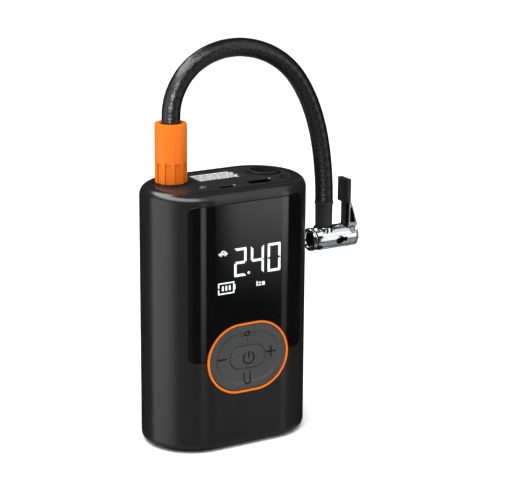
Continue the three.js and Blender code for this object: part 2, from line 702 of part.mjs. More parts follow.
// The head carries the outlet valve over the bore, and a passage from it to the hose port.
const headHigh = headLow + 8;
const valveSeat = headLow + 1.6;
function makeHead() {
  const passageZ = headLow + 4.6;
  const middleX = (compressorX + portX) / 2;
  const halfX = (compressorX - portX) / 2 + 9.4;
  const block = prism(roundedRectangle(halfX, 9.4, 9), headLow, headHigh, 8).translate([middleX, portY, 0]);
  const level = solid(new THREE.CylinderGeometry(1.6, 1.6, compressorX - portX, 12))
    .rotate([0, 0, 90]).translate([middleX, portY, passageZ]);
  return block
    .subtract(rod(4.5, headLow - 1, valveSeat).translate([compressorX, portY, 0]))
    .subtract(rod(1.6, headLow, passageZ, 12).translate([compressorX, portY, 0]))
    .subtract(rod(1.6, passageZ, headHigh + 1, 12).translate([portX, portY, 0]))
    .subtract(level);
}
add(model, 'cylinder_head', makeHead(), aluminium);
add(model, 'valve_disc', rod(4, headLow + gap, headLow + gap + 0.5), rubber)
  .position.set(compressorX, portY, 0);

// ---- Hose port and nut, all about the port's axis with z from the top of the deck ----

const hoseGroup = new THREE.Group();
hoseGroup.position.set(portX, portY, deckTop);
model.add(hoseGroup);

const fittingLow = headHigh + gap - deckTop;
const fittingRadius = portRadius + 1.6;
const fittingFlange = deckBottom - deckTop - ledgeThickness - gap;
add(hoseGroup, 'port_fitting', turned([
  [0, fittingLow], [fittingRadius, fittingLow], [fittingRadius, fittingFlange], [portRadius, fittingFlange],
  [portRadius, portHeight - 0.5], [portRadius - 0.5, portHeight], [0, portHeight],
], 32).subtract(rod(portBore, fittingLow - 1, portHeight + 1, 16)), aluminium);
const sealLow = portHeight + gap;
const sealRing = rod(4.8, sealLow, sealLow + 0.9).subtract(rod(portBore + 0.6, 0, bodyHeight, 16));
add(hoseGroup, 'port_seal', sealRing, rubber);
const tailLow = sealLow + 0.9 + gap;
const hoseStart = hoseRoute[0][1];
const tail = rod(nutBore - gap, tailLow, hoseStart - gap, 32).subtract(rod(portBore, 0, bodyHeight, 16));
add(hoseGroup, 'hose_tail', tail, brass);

const nutPhase = 0.425; // share of a pitch from +X to the first recess
function makeNut() {
  const low = portBossHeight + 0.4;
  const high = low + nutHeight;
  let nut = turned([
    [0, low], [nutRadius - 0.3, low], [nutRadius, low + 0.3], [nutRadius, high - 0.5],
    [nutRadius - 0.5, high], [0, high],
  ], 30);
  const pitch = 360 / nutRecesses;
  const floor = nutRadius - nutRecessDepth;
  const halfWidth = floor * Math.tan(THREE.MathUtils.degToRad(pitch / 3));
  const recess = box(floor, nutRadius + 1, -halfWidth, halfWidth, low - 1, low + nutRecessHeight);
  for (let k = 0; k < nutRecesses; k += 1) {
    nut = nut.subtract(recess.rotate([0, 0, (k + nutPhase) * pitch]));
  }
  const flare = [[0, high - 1.5], [hoseHole, high - 1.5], [hoseHole + 0.6, high + 0.1], [0, high + 0.1]];
  return nut
    .subtract(rod(nutBore, low - 1, hoseStart + gap, 32))
    .subtract(rod(hoseHole, low, high + 1, 32))
    .subtract(turned(flare, 32));
}
add(hoseGroup, 'hose_nut', makeNut(), orange);

function makeHose() {
  const line = new THREE.CatmullRomCurve3(hoseRoute.map(([x, z]) => new THREE.Vector3(x, 0, z)));
  const section = new THREE.Shape();
  section.absarc(0, 0, hoseDiameter / 2, 0, 2 * Math.PI);
  return solid(new THREE.ExtrudeGeometry(section, {
    steps: hoseSteps, curveSegments: hoseSides / 2, extrudePath: line, bevelEnabled: false,
  }));
}
add(hoseGroup, 'hose', makeHose(), braid);

// ---- Chuck, with its origin where the hose's middle line meets the barrel's axis ----

const [hoseEndX, hoseEndZ] = hoseRoute[hoseRoute.length - 1];
const saddleHigh = chuckRadius + 0.2;
const ferruleLow = saddleHigh + gap;
const ferruleHigh = ferruleLow + ferruleHeight;
const chuck = new THREE.Group();
chuck.position.set(hoseEndX, 0, hoseEndZ - gap - ferruleHigh);
hoseGroup.add(chuck);

const noseX = -10.3;
const noseCapLength = 2.1;
const sealFlange = 0.8;
const barrelX = noseX + noseCapLength + sealFlange + 2 * gap;
const tailX = 20.7;
const pivot = { x: 17, z: 4 };
const hubRadius = 3.2;
const barrelBore = 5.2;
const slotFront = pivot.x - hubRadius - 0.7;
const plungerEnd = pivot.x - hubRadius - 0.6;
const stemHoleRadius = 2.9;
const stemGrip = 3.8; // radius of the seal's hole, round a tyre valve's stem
const noseBore = 4.4;

// A solid turned about the barrel's axis, from [radius, x] points.
function alongBarrel(profile, sides = 32) {
  return turned(profile, sides).rotate([0, 90, 0]);
}

add(chuck, 'hose_ferrule', turned([
  [0, ferruleLow], [ferruleRadius, ferruleLow], [ferruleRadius + 0.15, ferruleHigh - 2.2],
  [ferruleRadius + 0.4, ferruleHigh - 1.8], [ferruleRadius + 0.4, ferruleHigh], [0, ferruleHigh],
], 32).subtract(rod(stemHoleRadius, 0, bodyHeight, 16)), matteBlack);
add(chuck, 'ferrule_stem', rod(stemHoleRadius - gap, barrelBore + 0.1, ferruleHigh - gap, 16)
  .subtract(rod(1.4, 0, bodyHeight, 12)), brass);

function makeBarrel() {
  const shell = alongBarrel([
    [0, barrelX], [chuckRadius - 0.7, barrelX], [chuckRadius, barrelX + 2], [chuckRadius, tailX - 2],
    [chuckRadius - 0.4, tailX - 1.8], [chuckRadius - 0.4, tailX - 1.3], [chuckRadius, tailX - 1.1],
    [chuckRadius, tailX - 0.3], [chuckRadius - 0.3, tailX], [0, tailX],
  ]);
  const saddle = turned([[0, 0], [6.6, 0], [6.6, 5.2], [6.1, saddleHigh], [0, saddleHigh]], 32);
  const slotHigh = chuckRadius + 1;
  const leverSlot = box(slotFront, tailX + 1, -leverHalfWidth - 0.35, leverHalfWidth + 0.35, -1.6, slotHigh);
  const keyhole = rodY(2.2, -chuckRadius - 1, 0, 7.6, -0.9, 16)
    .add(box(7.6, 13, -chuckRadius - 1, 0, -2, 0.2));
  const boreEnd = plungerEnd + plungerTravel + gap;
  const bore = [[0, barrelX - 1], [barrelBore, barrelX - 1], [barrelBore, boreEnd], [0, boreEnd]];
  return shell.add(saddle)
    .subtract(alongBarrel(bore, 24))
    .subtract(rod(stemHoleRadius, 0, chuckRadius + 2, 16))
    .subtract(leverSlot)
    .subtract(keyhole)
    .subtract(rodY(leverPinRadius + gap, -chuckRadius - 1, chuckRadius + 1, pivot.x, pivot.z, 16));
}
add(chuck, 'chuck_barrel', makeBarrel(), chrome);
add(chuck, 'chuck_nose', alongBarrel([
  [noseBore, noseX], [chuckRadius - 0.4, noseX], [chuckRadius - 0.1, noseX + 0.4],
  [chuckRadius - 0.1, noseX + noseCapLength], [noseBore, noseX + noseCapLength], [noseBore, noseX],
]), chrome);
const sealX = noseX + noseCapLength + gap;
const sealEnd = sealX + 4.6;
add(chuck, 'nose_seal', alongBarrel([
  [stemGrip, sealX], [chuckRadius - 0.4, sealX], [chuckRadius - 0.4, sealX + sealFlange],
  [barrelBore - gap, sealX + sealFlange], [barrelBore - gap, sealEnd], [stemGrip, sealEnd], [stemGrip, sealX],
], 24), rubber);
// The plunger's tip presses the tyre valve's pin when the lever is locked.
const plungerFace = sealEnd + 0.8;
const tipX = noseX + 6.2;
add(chuck, 'chuck_plunger', alongBarrel([
  [0, tipX], [0.7, tipX], [1.1, tipX + 0.5], [1.1, plungerFace], [barrelBore - 0.4, plungerFace],
  [barrelBore - 0.4, plungerEnd], [0, plungerEnd],
], 20), brass);

// The lever stands upright when it is locked. Its hub is a cam with a flat that lets the plunger back.
const leverFace = 14.9;
const leverTop = 20;
function makeYoke() {
  const outline = [[leverFace, 7], [18, 3], [21.2, 6], [16.8, leverTop], [leverFace, leverTop]];
  const arm = new THREE.Shape(outline.map(([x, z]) => new THREE.Vector2(x, z)));
  const hollow = [[16.2, 9], [19, 9], [16.7, 16.5], [16.2, 16.5]];
  const recess = new THREE.Shape(hollow.map(([x, z]) => new THREE.Vector2(x, z)));
  const flatZ = pivot.z - hubRadius + plungerTravel;
  const hub = rodY(hubRadius, -leverHalfWidth, leverHalfWidth, pivot.x, pivot.z, 32)
    .subtract(box(0, 2 * pivot.x, -chuckRadius, chuckRadius, -chuckRadius, flatZ));
  return plate(arm, -leverHalfWidth, leverHalfWidth).add(hub)
    .subtract(plate(recess, -leverHalfWidth - 1, -leverHalfWidth + 1.2))
    .subtract(plate(recess, leverHalfWidth - 1.2, leverHalfWidth + 1))
    .subtract(rodY(leverPinRadius + gap, -chuckRadius, chuckRadius, pivot.x, pivot.z, 16));
}
add(chuck, 'lever_yoke', makeYoke(), chrome);
const paddleLow = leverTop + gap;
const paddle = prism(roundedRectangle(1.65, 5.2, 0.8), paddleLow, paddleLow + 14.2, 3)
  .translate([14.15, 0, 0]);
const leverStem = box(leverFace - gap - 1.5, leverFace - gap, -1.9, 1.9, chuckRadius + 0.6, paddleLow + 1);
add(chuck, 'lever_pad', paddle.add(leverStem), innerPlastic);
add(chuck, 'lever_pin', rodY(leverPinRadius, -5.5, 5.5, pivot.x, pivot.z, 16), steel);

export default model;
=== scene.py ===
import json
import math

import bmesh
import bpy
from mathutils import Matrix, Vector


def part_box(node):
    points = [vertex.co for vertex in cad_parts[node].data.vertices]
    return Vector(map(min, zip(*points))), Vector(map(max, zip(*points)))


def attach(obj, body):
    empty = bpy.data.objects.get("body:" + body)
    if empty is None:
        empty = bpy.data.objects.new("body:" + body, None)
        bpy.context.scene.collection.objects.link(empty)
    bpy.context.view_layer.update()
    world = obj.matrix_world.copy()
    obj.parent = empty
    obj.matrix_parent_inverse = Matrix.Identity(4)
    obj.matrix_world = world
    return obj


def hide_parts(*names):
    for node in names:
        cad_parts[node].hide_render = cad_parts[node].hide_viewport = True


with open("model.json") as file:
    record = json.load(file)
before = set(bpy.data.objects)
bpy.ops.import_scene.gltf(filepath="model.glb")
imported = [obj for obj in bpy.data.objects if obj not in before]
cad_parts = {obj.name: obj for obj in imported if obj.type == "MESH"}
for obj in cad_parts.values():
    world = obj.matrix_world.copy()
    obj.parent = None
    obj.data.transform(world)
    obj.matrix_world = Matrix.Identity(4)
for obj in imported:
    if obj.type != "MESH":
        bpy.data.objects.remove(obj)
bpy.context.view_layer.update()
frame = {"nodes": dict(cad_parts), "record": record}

# Pieces are modelled in millimetres about the row's origin, and scaled to metres when they are finished.
MM = 0.001
GAP = 0.3

# ---- Driving dimensions, in millimetres ----

REACH = 20.5  # from the middle of the body to the centre of each round end
BODY_RADIUS = 29
BODY_HEIGHT = 150
SHOULDER = 6.5
BASE_ROUND = 5
WALL = 2.6
DECK_RADIUS = 20.8
DECK_TOP = 149.7
DECK_THICKNESS = 2.5
CAP_RADIUS = 22
CAP_THICKNESS = 2.7
FRONT = -BODY_RADIUS
PORT = Vector((-30.7, 4.6, DECK_TOP))
SOCKET_X = 29.0
PAD_Z = 53
PAD_REACH = 5.5
RING_RADIUS = 20.5
CHUCK = Vector((70.2, 4.6, 105.0))
BODY_SIDES = 128


def span(node, axis):
    """The lowest and highest place of a CAD node along an axis, in millimetres."""
    low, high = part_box(node)
    return low[axis] / MM, high[axis] / MM


# ---- Camera ----


def make_camera():
    azimuth = math.radians(-30.8764)
    elevation = math.radians(15.9476)
    roll = math.radians(0.4497)
    distance = 1054.88 * MM
    target = Vector((25.8934, 0, 104.7326)) * MM
    back = Vector((
        math.sin(azimuth) * math.cos(elevation), -math.cos(azimuth) * math.cos(elevation), math.sin(elevation),
    ))
    level = Vector((math.cos(azimuth), math.sin(azimuth), 0))
    rise = back.cross(level)
    right = level * math.cos(roll) + rise * math.sin(roll)
    up = rise * math.cos(roll) - level * math.sin(roll)
    bpy.ops.object.camera_add()
    camera = bpy.context.object
    camera.name = "product_camera"
    turn = Matrix((right, up, back)).transposed().to_4x4()
    camera.matrix_world = Matrix.Translation(target + back * distance) @ turn
    camera.data.sensor_width = 36
    camera.data.lens = 126.1
    camera.data.clip_start = 0.05
    camera.data.clip_end = 50
    bpy.context.scene.camera = camera


make_camera()

# ---- Hand tools ----


def clear_hands():
    if bpy.context.object and bpy.context.object.mode != "OBJECT":
        bpy.ops.object.mode_set(mode="OBJECT")
    bpy.ops.object.select_all(action="DESELECT")


def hold(piece):
    clear_hands()
    piece.select_set(True)
    bpy.context.view_layer.objects.active = piece


def fix_place(piece):
    """Writes the object's place, turn and scale into its mesh."""
    hold(piece)
    bpy.ops.object.transform_apply(location=True, rotation=True, scale=True)
    return piece


def pick(piece, kind, test):
    """Enters edit mode with the points, edges or faces selected whose middle (and normal) pass the test."""
    hold(piece)
    bpy.ops.object.mode_set(mode="EDIT")
    bpy.ops.mesh.select_mode(type=kind)
    bpy.ops.mesh.select_all(action="DESELECT")
    shape = bmesh.from_edit_mesh(piece.data)
    if kind == "VERT":
        for point in shape.verts:
            point.select = test(point.co)
    elif kind == "EDGE":
        for edge in shape.edges:
            edge.select = test(*(point.co for point in edge.verts))
    else:
        for face in shape.faces:
            face.select = test(face.calc_center_median(), face.normal)
    shape.select_flush_mode()
    bmesh.update_edit_mesh(piece.data)


def let_go():
    bpy.ops.object.mode_set(mode="OBJECT")


def turned(name, profile, sides=64):
    """A shape turned about Z: a circle's rim is extruded, resized and raised through [radius, height] points.
    A profile that closes on itself makes a ring, and any other is filled at both ends."""
    clear_hands()
    ring = profile[0] == profile[-1]
    bpy.ops.mesh.primitive_circle_add(
        vertices=sides, radius=profile[0][0], fill_type="NOTHING" if ring else "NGON",
        location=(0, 0, profile[0][1]), rotation=(0, 0, math.pi / sides),
    )
    piece = fix_place(bpy.context.object)
    piece.name = name
    bpy.ops.object.mode_set(mode="EDIT")
    bpy.ops.mesh.select_all(action="SELECT")
    for (radius, height), (next_radius, next_height) in zip(profile, profile[1:]):
        bpy.ops.mesh.extrude_region_move(TRANSFORM_OT_translate={"value": (0, 0, next_height - height)})
        share = next_radius / radius
        bpy.ops.transform.resize(value=(share, share, 1), center_override=(0, 0, next_height))
    bpy.ops.mesh.select_all(action="SELECT")
    bpy.ops.mesh.remove_doubles(threshold=0.001)
    bpy.ops.mesh.normals_make_consistent(inside=False)
    let_go()
    return piece


def spread_ends(piece, reach):
    """Pulls the two halves of a turned shape apart along X, so that straight sides join two round ends."""
    for side in (-1, 1):
        pick(piece, "VERT", lambda place: place.x * side > 0)
        bpy.ops.transform.translate(value=(side * reach, 0, 0))
        let_go()
    return piece


def stadium(name, profile, reach=REACH, sides=BODY_SIDES):
    return spread_ends(turned(name, profile, sides), reach)


def upright(radius, low, high):
    return [[radius, low], [radius, high]]


def quarter(centre_radius, centre_height, radius, start, end, steps):
    """Points of a fillet from one direction to another, in degrees, as [radius, height]."""
    points = []
    for step in range(steps + 1):
        angle = math.radians(start + (end - start) * step / steps)
        points.append([centre_radius + radius * math.cos(angle), centre_height + radius * math.sin(angle)])
    return points


def eased(radius, low, high, round_low, round_high, steps=3):
    """The profile of a solid turned shape whose two rims are rounded over."""
    return [
        *quarter(radius - round_low, low + round_low, round_low, -90, 0, steps),
        *quarter(radius - round_high, high - round_high, round_high, 0, 90, steps),
    ]


def stood(piece, turn=(0, 0, 0), place=(0, 0, 0)):
    """Turns a piece by degrees about X, Y and Z, and then moves it."""
    piece.rotation_euler = [math.radians(angle) for angle in turn]
    piece.location = place
    return fix_place(piece)


def facing_front(piece, place):
    """Lays a piece that was made about Z so that its top faces the viewer."""
    return stood(piece, (90, 0, 0), place)


def along_x(piece, place=CHUCK):
    return stood(piece, (0, 90, 0), place)


def block(name, low, high):
    clear_hands()
    middle = [(a + b) / 2 for a, b in zip(low, high)]
    bpy.ops.mesh.primitive_cube_add(size=1, location=middle, scale=[b - a for a, b in zip(low, high)])
    piece = fix_place(bpy.context.object)
    piece.name = name
    return piece


def plaque(name, half_x, half_y, corner, low, high, segments=8):
    """A block whose four upright edges are rounded."""
    piece = block(name, (-half_x, -half_y, low), (half_x, half_y, high))
    pick(piece, "EDGE", lambda a, b: abs(a.z - b.z) > 0.5 * (high - low))
    bpy.ops.mesh.bevel(offset=corner, segments=segments, affect="EDGES")
    let_go()
    return piece


def use_modifier(piece, kind, **settings):
    hold(piece)
    modifier = piece.modifiers.new(kind.lower(), kind)
    for name, value in settings.items():
        setattr(modifier, name, value)
    bpy.ops.object.modifier_apply(modifier=modifier.name)


def combine(piece, other, operation):
    use_modifier(piece, "BOOLEAN", object=other, operation=operation, solver="EXACT", material_mode="TRANSFER")
    bpy.data.objects.remove(other)
    return piece


def cut(piece, *cutters):
    for cutter in cutters:
        combine(piece, cutter, "DIFFERENCE")
    return piece


def weld(piece, *others):
    for other in others:
        combine(piece, other, "UNION")
    return piece


def joined(name, pieces):
    """Makes separate shells one object."""
    hold(pieces[0])
    for piece in pieces:
        piece.select_set(True)
    bpy.ops.object.join()
    pieces[0].name = name
    return pieces[0]


def soften(piece, width, segments=2, angle=35):
    """Rounds the sharp edges a little, as moulding and plating leave them."""
    use_modifier(
        piece, "BEVEL", width=width, segments=segments, limit_method="ANGLE",
        angle_limit=math.radians(angle), use_clamp_overlap=False, miter_outer="MITER_ARC",
    )
    return piece


def merge_close(piece, distance=0.02):
    hold(piece)
    bpy.ops.object.mode_set(mode="EDIT")
    bpy.ops.mesh.select_all(action="SELECT")
    bpy.ops.mesh.remove_doubles(threshold=distance)
    let_go()
    return piece


def finish_piece(piece, body, material, stands_for=(), smooth=30):
    """Brings a piece to metres, smooths it, dresses it and puts it on its body."""
    hold(piece)
    piece.scale = (MM, MM, MM)
    fix_place(piece)
    bpy.ops.object.shade_smooth_by_angle(angle=math.radians(smooth))
    use_modifier(piece, "WEIGHTED_NORMAL", keep_sharp=True)
    if not any(piece.data.materials):
        piece.data.materials.clear()
        piece.data.materials.append(material)
    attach(piece, body)
    if stands_for:
        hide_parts(*stands_for)
    return piece


# ---- Materials ----


def new_material(name, colour, roughness, metallic=0.0):
    material = bpy.data.materials.new(name)
    material.use_nodes = True
    shader = material.node_tree.nodes["Principled BSDF"]
    shader.inputs["Base Color"].default_value = (*colour, 1)
    shader.inputs["Roughness"].default_value = roughness
    shader.inputs["Metallic"].default_value = metallic
    return material, shader


def node(material, kind, **inputs):
    made = material.node_tree.nodes.new(kind)
    for name, value in inputs.items():
        made.inputs[name.replace("_", " ")].default_value = value
    return made


def wire(material, source, target):
    material.node_tree.links.new(source, target)


def noise(material, scale, detail=3.0, stretch=(1, 1, 1)):
    """Noise on the piece's own coordinates, its scale in grains per metre, stretched along the axes."""
    place = node(material, "ShaderNodeTexCoord")
    mapping = node(material, "ShaderNodeMapping", Scale=stretch)
    made = node(material, "ShaderNodeTexNoise", Scale=scale, Detail=detail)
    wire(material, place.outputs["Object"], mapping.inputs["Vector"])
    wire(material, mapping.outputs["Vector"], made.inputs["Vector"])
    return made.outputs["Fac"]


def vary_roughness(material, shader, source, low, high):
    ramp = node(material, "ShaderNodeMapRange", To_Min=low, To_Max=high)
    ramp.inputs["From Min"].default_value = 0.3
    ramp.inputs["From Max"].default_value = 0.7
    wire(material, source, ramp.inputs["Value"])
    wire(material, ramp.outputs["Result"], shader.inputs["Roughness"])


def vary_colour(material, shader, source, dark, light):
    ramp = node(material, "ShaderNodeValToRGB")
    ramp.color_ramp.elements[0].position = 0.3
    ramp.color_ramp.elements[0].color = (*dark, 1)
    ramp.color_ramp.elements[1].position = 0.7
    ramp.color_ramp.elements[1].color = (*light, 1)
    wire(material, source, ramp.inputs["Fac"])
    wire(material, ramp.outputs["Color"], shader.inputs["Base Color"])


def roughen(material, shader, source, depth, strength=1.0):
    """Bump of a depth in metres from a height."""
    bump = node(material, "ShaderNodeBump", Strength=strength, Distance=depth)
    wire(material, source, bump.inputs["Height"])
    wire(material, bump.outputs["Normal"], shader.inputs["Normal"])


def moulded(name, dark, light, roughness, grain, depth, spread=0.06):
    """Moulded plastic or rubber: a fine grain, and a slow change of tone and gloss."""
    material, shader = new_material(name, light, roughness)
    vary_colour(material, shader, noise(material, 45, 4), dark, light)
    vary_roughness(material, shader, noise(material, 120, 5), roughness - spread, roughness + spread)
    roughen(material, shader, noise(material, grain, 2), depth)
    return material


def metal(name, dark, light, roughness, grain, depth, stretch=(1, 1, 1), spread=0.04):
    """Bare or plated metal: tool marks along an axis, and faint stains in its gloss."""
    material, shader = new_material(name, light, roughness, 1.0)
    vary_colour(material, shader, noise(material, 90, 4), dark, light)
    vary_roughness(material, shader, noise(material, 260, 5), roughness - spread, roughness + spread)
    roughen(material, shader, noise(material, grain, 3, stretch), depth)
    return material


def grey(value):
    return (value, value * 1.01, value * 1.03)


def make_gloss_cover():
    """The smoked cover over the display: deep black under a hard, almost perfect polish."""
    material, shader = new_material("smoked_gloss", grey(0.0025), 0.045)
    vary_colour(material, shader, noise(material, 30, 3), grey(0.0018), grey(0.003))
    vary_roughness(material, shader, noise(material, 70, 5), 0.03, 0.06)
    roughen(material, shader, noise(material, 60, 2), 0.00002, 0.15)
    shader.inputs["Coat Weight"].default_value = 0.35
    shader.inputs["Coat Roughness"].default_value = 0.02
    return material


def make_orange():
    material, shader = new_material("orange_moulding", (0.69, 0.14, 0.002), 0.42)
    vary_colour(material, shader, noise(material, 60, 4), (0.66, 0.132, 0.001), (0.71, 0.146, 0.002))
    vary_roughness(material, shader, noise(material, 300, 5), 0.36, 0.5)
    roughen(material, shader, noise(material, 2600, 2), 0.00001)
    shader.inputs["Specular IOR Level"].default_value = 0.25
    shader.inputs["Subsurface Weight"].default_value = 0.05
    shader.inputs["Subsurface Radius"].default_value = (0.002, 0.0006, 0.0002)
    return material


def make_lit():
    """Lit segments behind the cover: white, with the cover's own gloss over them."""
    material, shader = new_material("lit_segment", (0.5, 0.5, 0.5), 0.1)
    vary_colour(material, shader, noise(material, 900, 2), (0.4, 0.42, 0.43), (0.5, 0.51, 0.51))
    shader.inputs["Emission Color"].default_value = (1.0, 1.0, 1.0, 1)
    shader.inputs["Emission Strength"].default_value = 0.6
    return material


def make_light_guide(name, dark, light):
    """Clear plastic over a dark well, which looks smoky when its light is off."""
    material, shader = new_material(name, light, 0.2)
    vary_colour(material, shader, noise(material, 700, 3), dark, light)
    vary_roughness(material, shader, noise(material, 900, 3), 0.06, 0.16)
    roughen(material, shader, noise(material, 1500, 2), 0.000005)
    shader.inputs["Coat Weight"].default_value = 0.6
    return material


def make_board():
    """Solder mask over copper: green, with faint straight tracks that show through it."""
    material, shader = new_material("solder_mask", (0.01, 0.09, 0.03), 0.35)
    place = node(material, "ShaderNodeTexCoord")
    tracks = node(material, "ShaderNodeTexBrick", Scale=320.0)
    tracks.inputs["Color1"].default_value = (0.008, 0.085, 0.028, 1)
    tracks.inputs["Color2"].default_value = (0.012, 0.11, 0.04, 1)
    tracks.inputs["Mortar"].default_value = (0.02, 0.16, 0.06, 1)
    wire(material, place.outputs["Object"], tracks.inputs["Vector"])
    wire(material, tracks.outputs["Color"], shader.inputs["Base Color"])
    vary_roughness(material, shader, noise(material, 500, 3), 0.28, 0.42)
    roughen(material, shader, noise(material, 1200, 2), 0.00001)
    return material


BRAID_ENDS = 26  # strands each way round the hose
BRAID_PITCH = 2.9  # along the hose, for a strand to move over by one strand
HOSE_DIAMETER = 10.5


def make_braid():
    """Glossy black monofilament braid: two sets of crossing strands that pass over and under each other.
    It reads the hose's own map, whose u goes once round and whose v is millimetres along it."""
    material, shader = new_material("braided_filament", grey(0.004), 0.3)
    place = node(material, "ShaderNodeUVMap")
    place.uv_map = "strands"
    split = node(material, "ShaderNodeSeparateXYZ")
    wire(material, place.outputs["UV"], split.inputs["Vector"])

    def maths(operation, first, second=None):
        made = node(material, "ShaderNodeMath")
        made.operation = operation
        for socket, value in zip(made.inputs, (first, second)):
            if value is None:
                continue
            if isinstance(value, (int, float)):
                socket.default_value = value
            else:
                wire(material, value, socket)
        return made.outputs["Value"]

    around = maths("MULTIPLY", split.outputs["X"], BRAID_ENDS)
    onward = maths("MULTIPLY", split.outputs["Y"], 1 / BRAID_PITCH)
    heights = []
    for sign, other in (("ADD", "SUBTRACT"), ("SUBTRACT", "ADD")):
        across = maths(sign, around, onward)
        over = maths(other, around, onward)
        strand = maths("ABSOLUTE", maths("SINE", maths("MULTIPLY", across, math.pi)))
        shift = 0 if sign == "ADD" else math.pi
        wave = maths("SINE", maths("ADD", maths("MULTIPLY", over, math.pi), shift))
        heights.append(maths("MULTIPLY", strand, maths("ADD", maths("MULTIPLY", wave, 0.5), 0.5)))
    height = maths("MAXIMUM", *heights)
    fibre = noise(material, 2500, 2)
    vary_roughness(material, shader, fibre, 0.24, 0.34)
    # Painted shade: the base colour is darker where the strands sink, in the gaps between them and where one passes
    # under another, and lighter on their crowns.
    ramp = node(material, "ShaderNodeValToRGB")
    ramp.color_ramp.elements[0].color = (*grey(0.0008), 1)
    ramp.color_ramp.elements[1].color = (*grey(0.006), 1)
    wire(material, height, ramp.inputs["Fac"])
    wire(material, ramp.outputs["Color"], shader.inputs["Base Color"])
    roughen(material, shader, height, 0.00006)
    shader.inputs["IOR"].default_value = 1.55
    return material


satin_shell = moulded("satin_shell", grey(0.0098), grey(0.0112), 0.2, 2600, 0.000002, 0.03)
deck_grain = moulded("deck_grain", grey(0.0105), grey(0.013), 0.48, 3600, 0.00003, 0.05)
touch_pad = moulded("touch_pad", grey(0.036), grey(0.043), 0.55, 3200, 0.000015, 0.05)
etched_black = moulded("etched_black", grey(0.003), grey(0.005), 0.6, 2500, 0.00001)
dark_moulding = moulded("dark_moulding", grey(0.012), grey(0.02), 0.45, 2600, 0.00002)
collar_rubber = moulded("collar_rubber", grey(0.013), grey(0.019), 0.45, 2800, 0.00002)
silicone = moulded("silicone", grey(0.006), grey(0.011), 0.7, 2000, 0.00002)
paddle_plastic = moulded("paddle_plastic", grey(0.008), grey(0.013), 0.4, 2600, 0.00001)
white_nylon = moulded("white_nylon", (0.62, 0.6, 0.53), (0.75, 0.73, 0.66), 0.5, 1800, 0.00001)
cell_film = moulded("cell_film", (0.012, 0.13, 0.15), (0.02, 0.19, 0.21), 0.3, 400, 0.00003)
panel_print = moulded("panel_print", (0.66, 0.67, 0.68), (0.8, 0.81, 0.82), 0.5, 2600, 0.00001)
panel_base = moulded("panel_base", grey(0.02), grey(0.028), 0.45, 2600, 0.00001)
chrome_plate = metal("chrome_plate", (0.7, 0.71, 0.72), (0.82, 0.83, 0.84), 0.07, 900, 0.000002, spread=0.025)
satin_chrome = metal("satin_chrome", (0.3, 0.31, 0.32), (0.38, 0.39, 0.4), 0.2, 900, 0.000004)
bright_steel = metal("bright_steel", (0.42, 0.43, 0.45), (0.56, 0.57, 0.59), 0.3, 1800, 0.00001, (1, 1, 0.08))
# Dark steel. The port shells also use it as painted shade, so that their slots read dark.
dark_steel_and_port_shade = metal("dark_steel_and_port_shade", grey(0.006), grey(0.012), 0.45, 1800, 0.00001)
turned_brass = metal("turned_brass", (0.5, 0.33, 0.11), (0.64, 0.45, 0.18), 0.28, 2200, 0.00001, (0.1, 1, 1))
cast_metal = metal("cast_metal", (0.36, 0.37, 0.39), (0.46, 0.47, 0.49), 0.45, 1400, 0.00004)
smoked_gloss = make_gloss_cover()
orange_moulding = make_orange()
lit_segment = make_lit()
light_guide = make_light_guide("light_guide", (0.2, 0.2, 0.21), (0.3, 0.3, 0.31))
lamp_guide = make_light_guide("lamp_guide", (0.03, 0.03, 0.032), (0.06, 0.06, 0.064))
solder_mask = make_board()
braided_filament = make_braid()

SLOT_FINISH = {
    "satin_black": satin_shell, "matte_black": deck_grain, "gloss_black": smoked_gloss,
    "soft_black": touch_pad, "orange": orange_moulding, "inner_plastic": dark_moulding,
    "rubber": silicone, "board_green": solder_mask, "steel": bright_steel, "chrome": chrome_plate,
    "brass": turned_brass, "aluminium": cast_metal, "cell_wrap": cell_film, "nylon": white_nylon,
    "clear_plastic": lamp_guide, "label_grey": panel_base, "braid": braided_filament,
}


def dress_cad_nodes():
    """Every CAD node gets its slot's finish, for those that no finer piece stands for."""
    slots = {row["node"]: row["material_slot"] for row in frame["record"]["subparts"]}
    for name, piece in frame["nodes"].items():
        piece.data.materials.clear()
        piece.data.materials.append(SLOT_FINISH[slots[name]])


dress_cad_nodes()

# ---- Hose: the same route as the CAD tube, in millimetres from the middle of the port ----

HOSE_ROUTE = [
    (0, 15.8), (0, 25.3), (0.1, 34.3), (1.1, 45.3), (4.7, 54.3), (10.9, 62.3), (19.2, 68.1),
    (28.7, 71.6), (38.7, 72.9), (48.7, 72.1), (58.7, 69.3), (67.7, 64.8), (75.7, 58.6),
    (82.2, 51.1), (87.4, 42.6), (91.7, 33.3), (95, 23.6), (97.4, 13.8), (99.1, 3.8),
    (100.2, -6.2), (100.8, -15.7), (100.9, -21.9),
]
HOSE_STEP = 0.36  # along the hose, between two rings of the tube
HOSE_SIDES = 104
BRAID_RISE = 0.05


def hose_line():
    """Points a step apart along a smooth curve through the route."""
    curve = bpy.data.curves.new("hose_guide", "CURVE")
    curve.dimensions = "3D"
    curve.resolution_u = 30
    spline = curve.splines.new("BEZIER")
    spline.bezier_points.add(len(HOSE_ROUTE) - 1)
    for point, (x, z) in zip(spline.bezier_points, HOSE_ROUTE):
        point.co = PORT + Vector((x, 0, z))
        point.handle_left_type = point.handle_right_type = "AUTO"
    guide = bpy.data.objects.new("hose_guide", curve)
    bpy.context.scene.collection.objects.link(guide)
    hold(guide)
    bpy.ops.object.convert(target="MESH")
    guide = bpy.context.object
    fine = [point.co.copy() for point in guide.data.vertices]
    bpy.data.objects.remove(guide)
    even = [fine[0]]
    carried = 0.0
    for start, end in zip(fine, fine[1:]):
        length = (end - start).length
        while carried + length >= HOSE_STEP:
            start = start.lerp(end, (HOSE_STEP - carried) / length)
            even.append(start)
            length = (end - start).length
            carried = 0.0
        carried += length
    even[-1] = fine[-1]
    return even


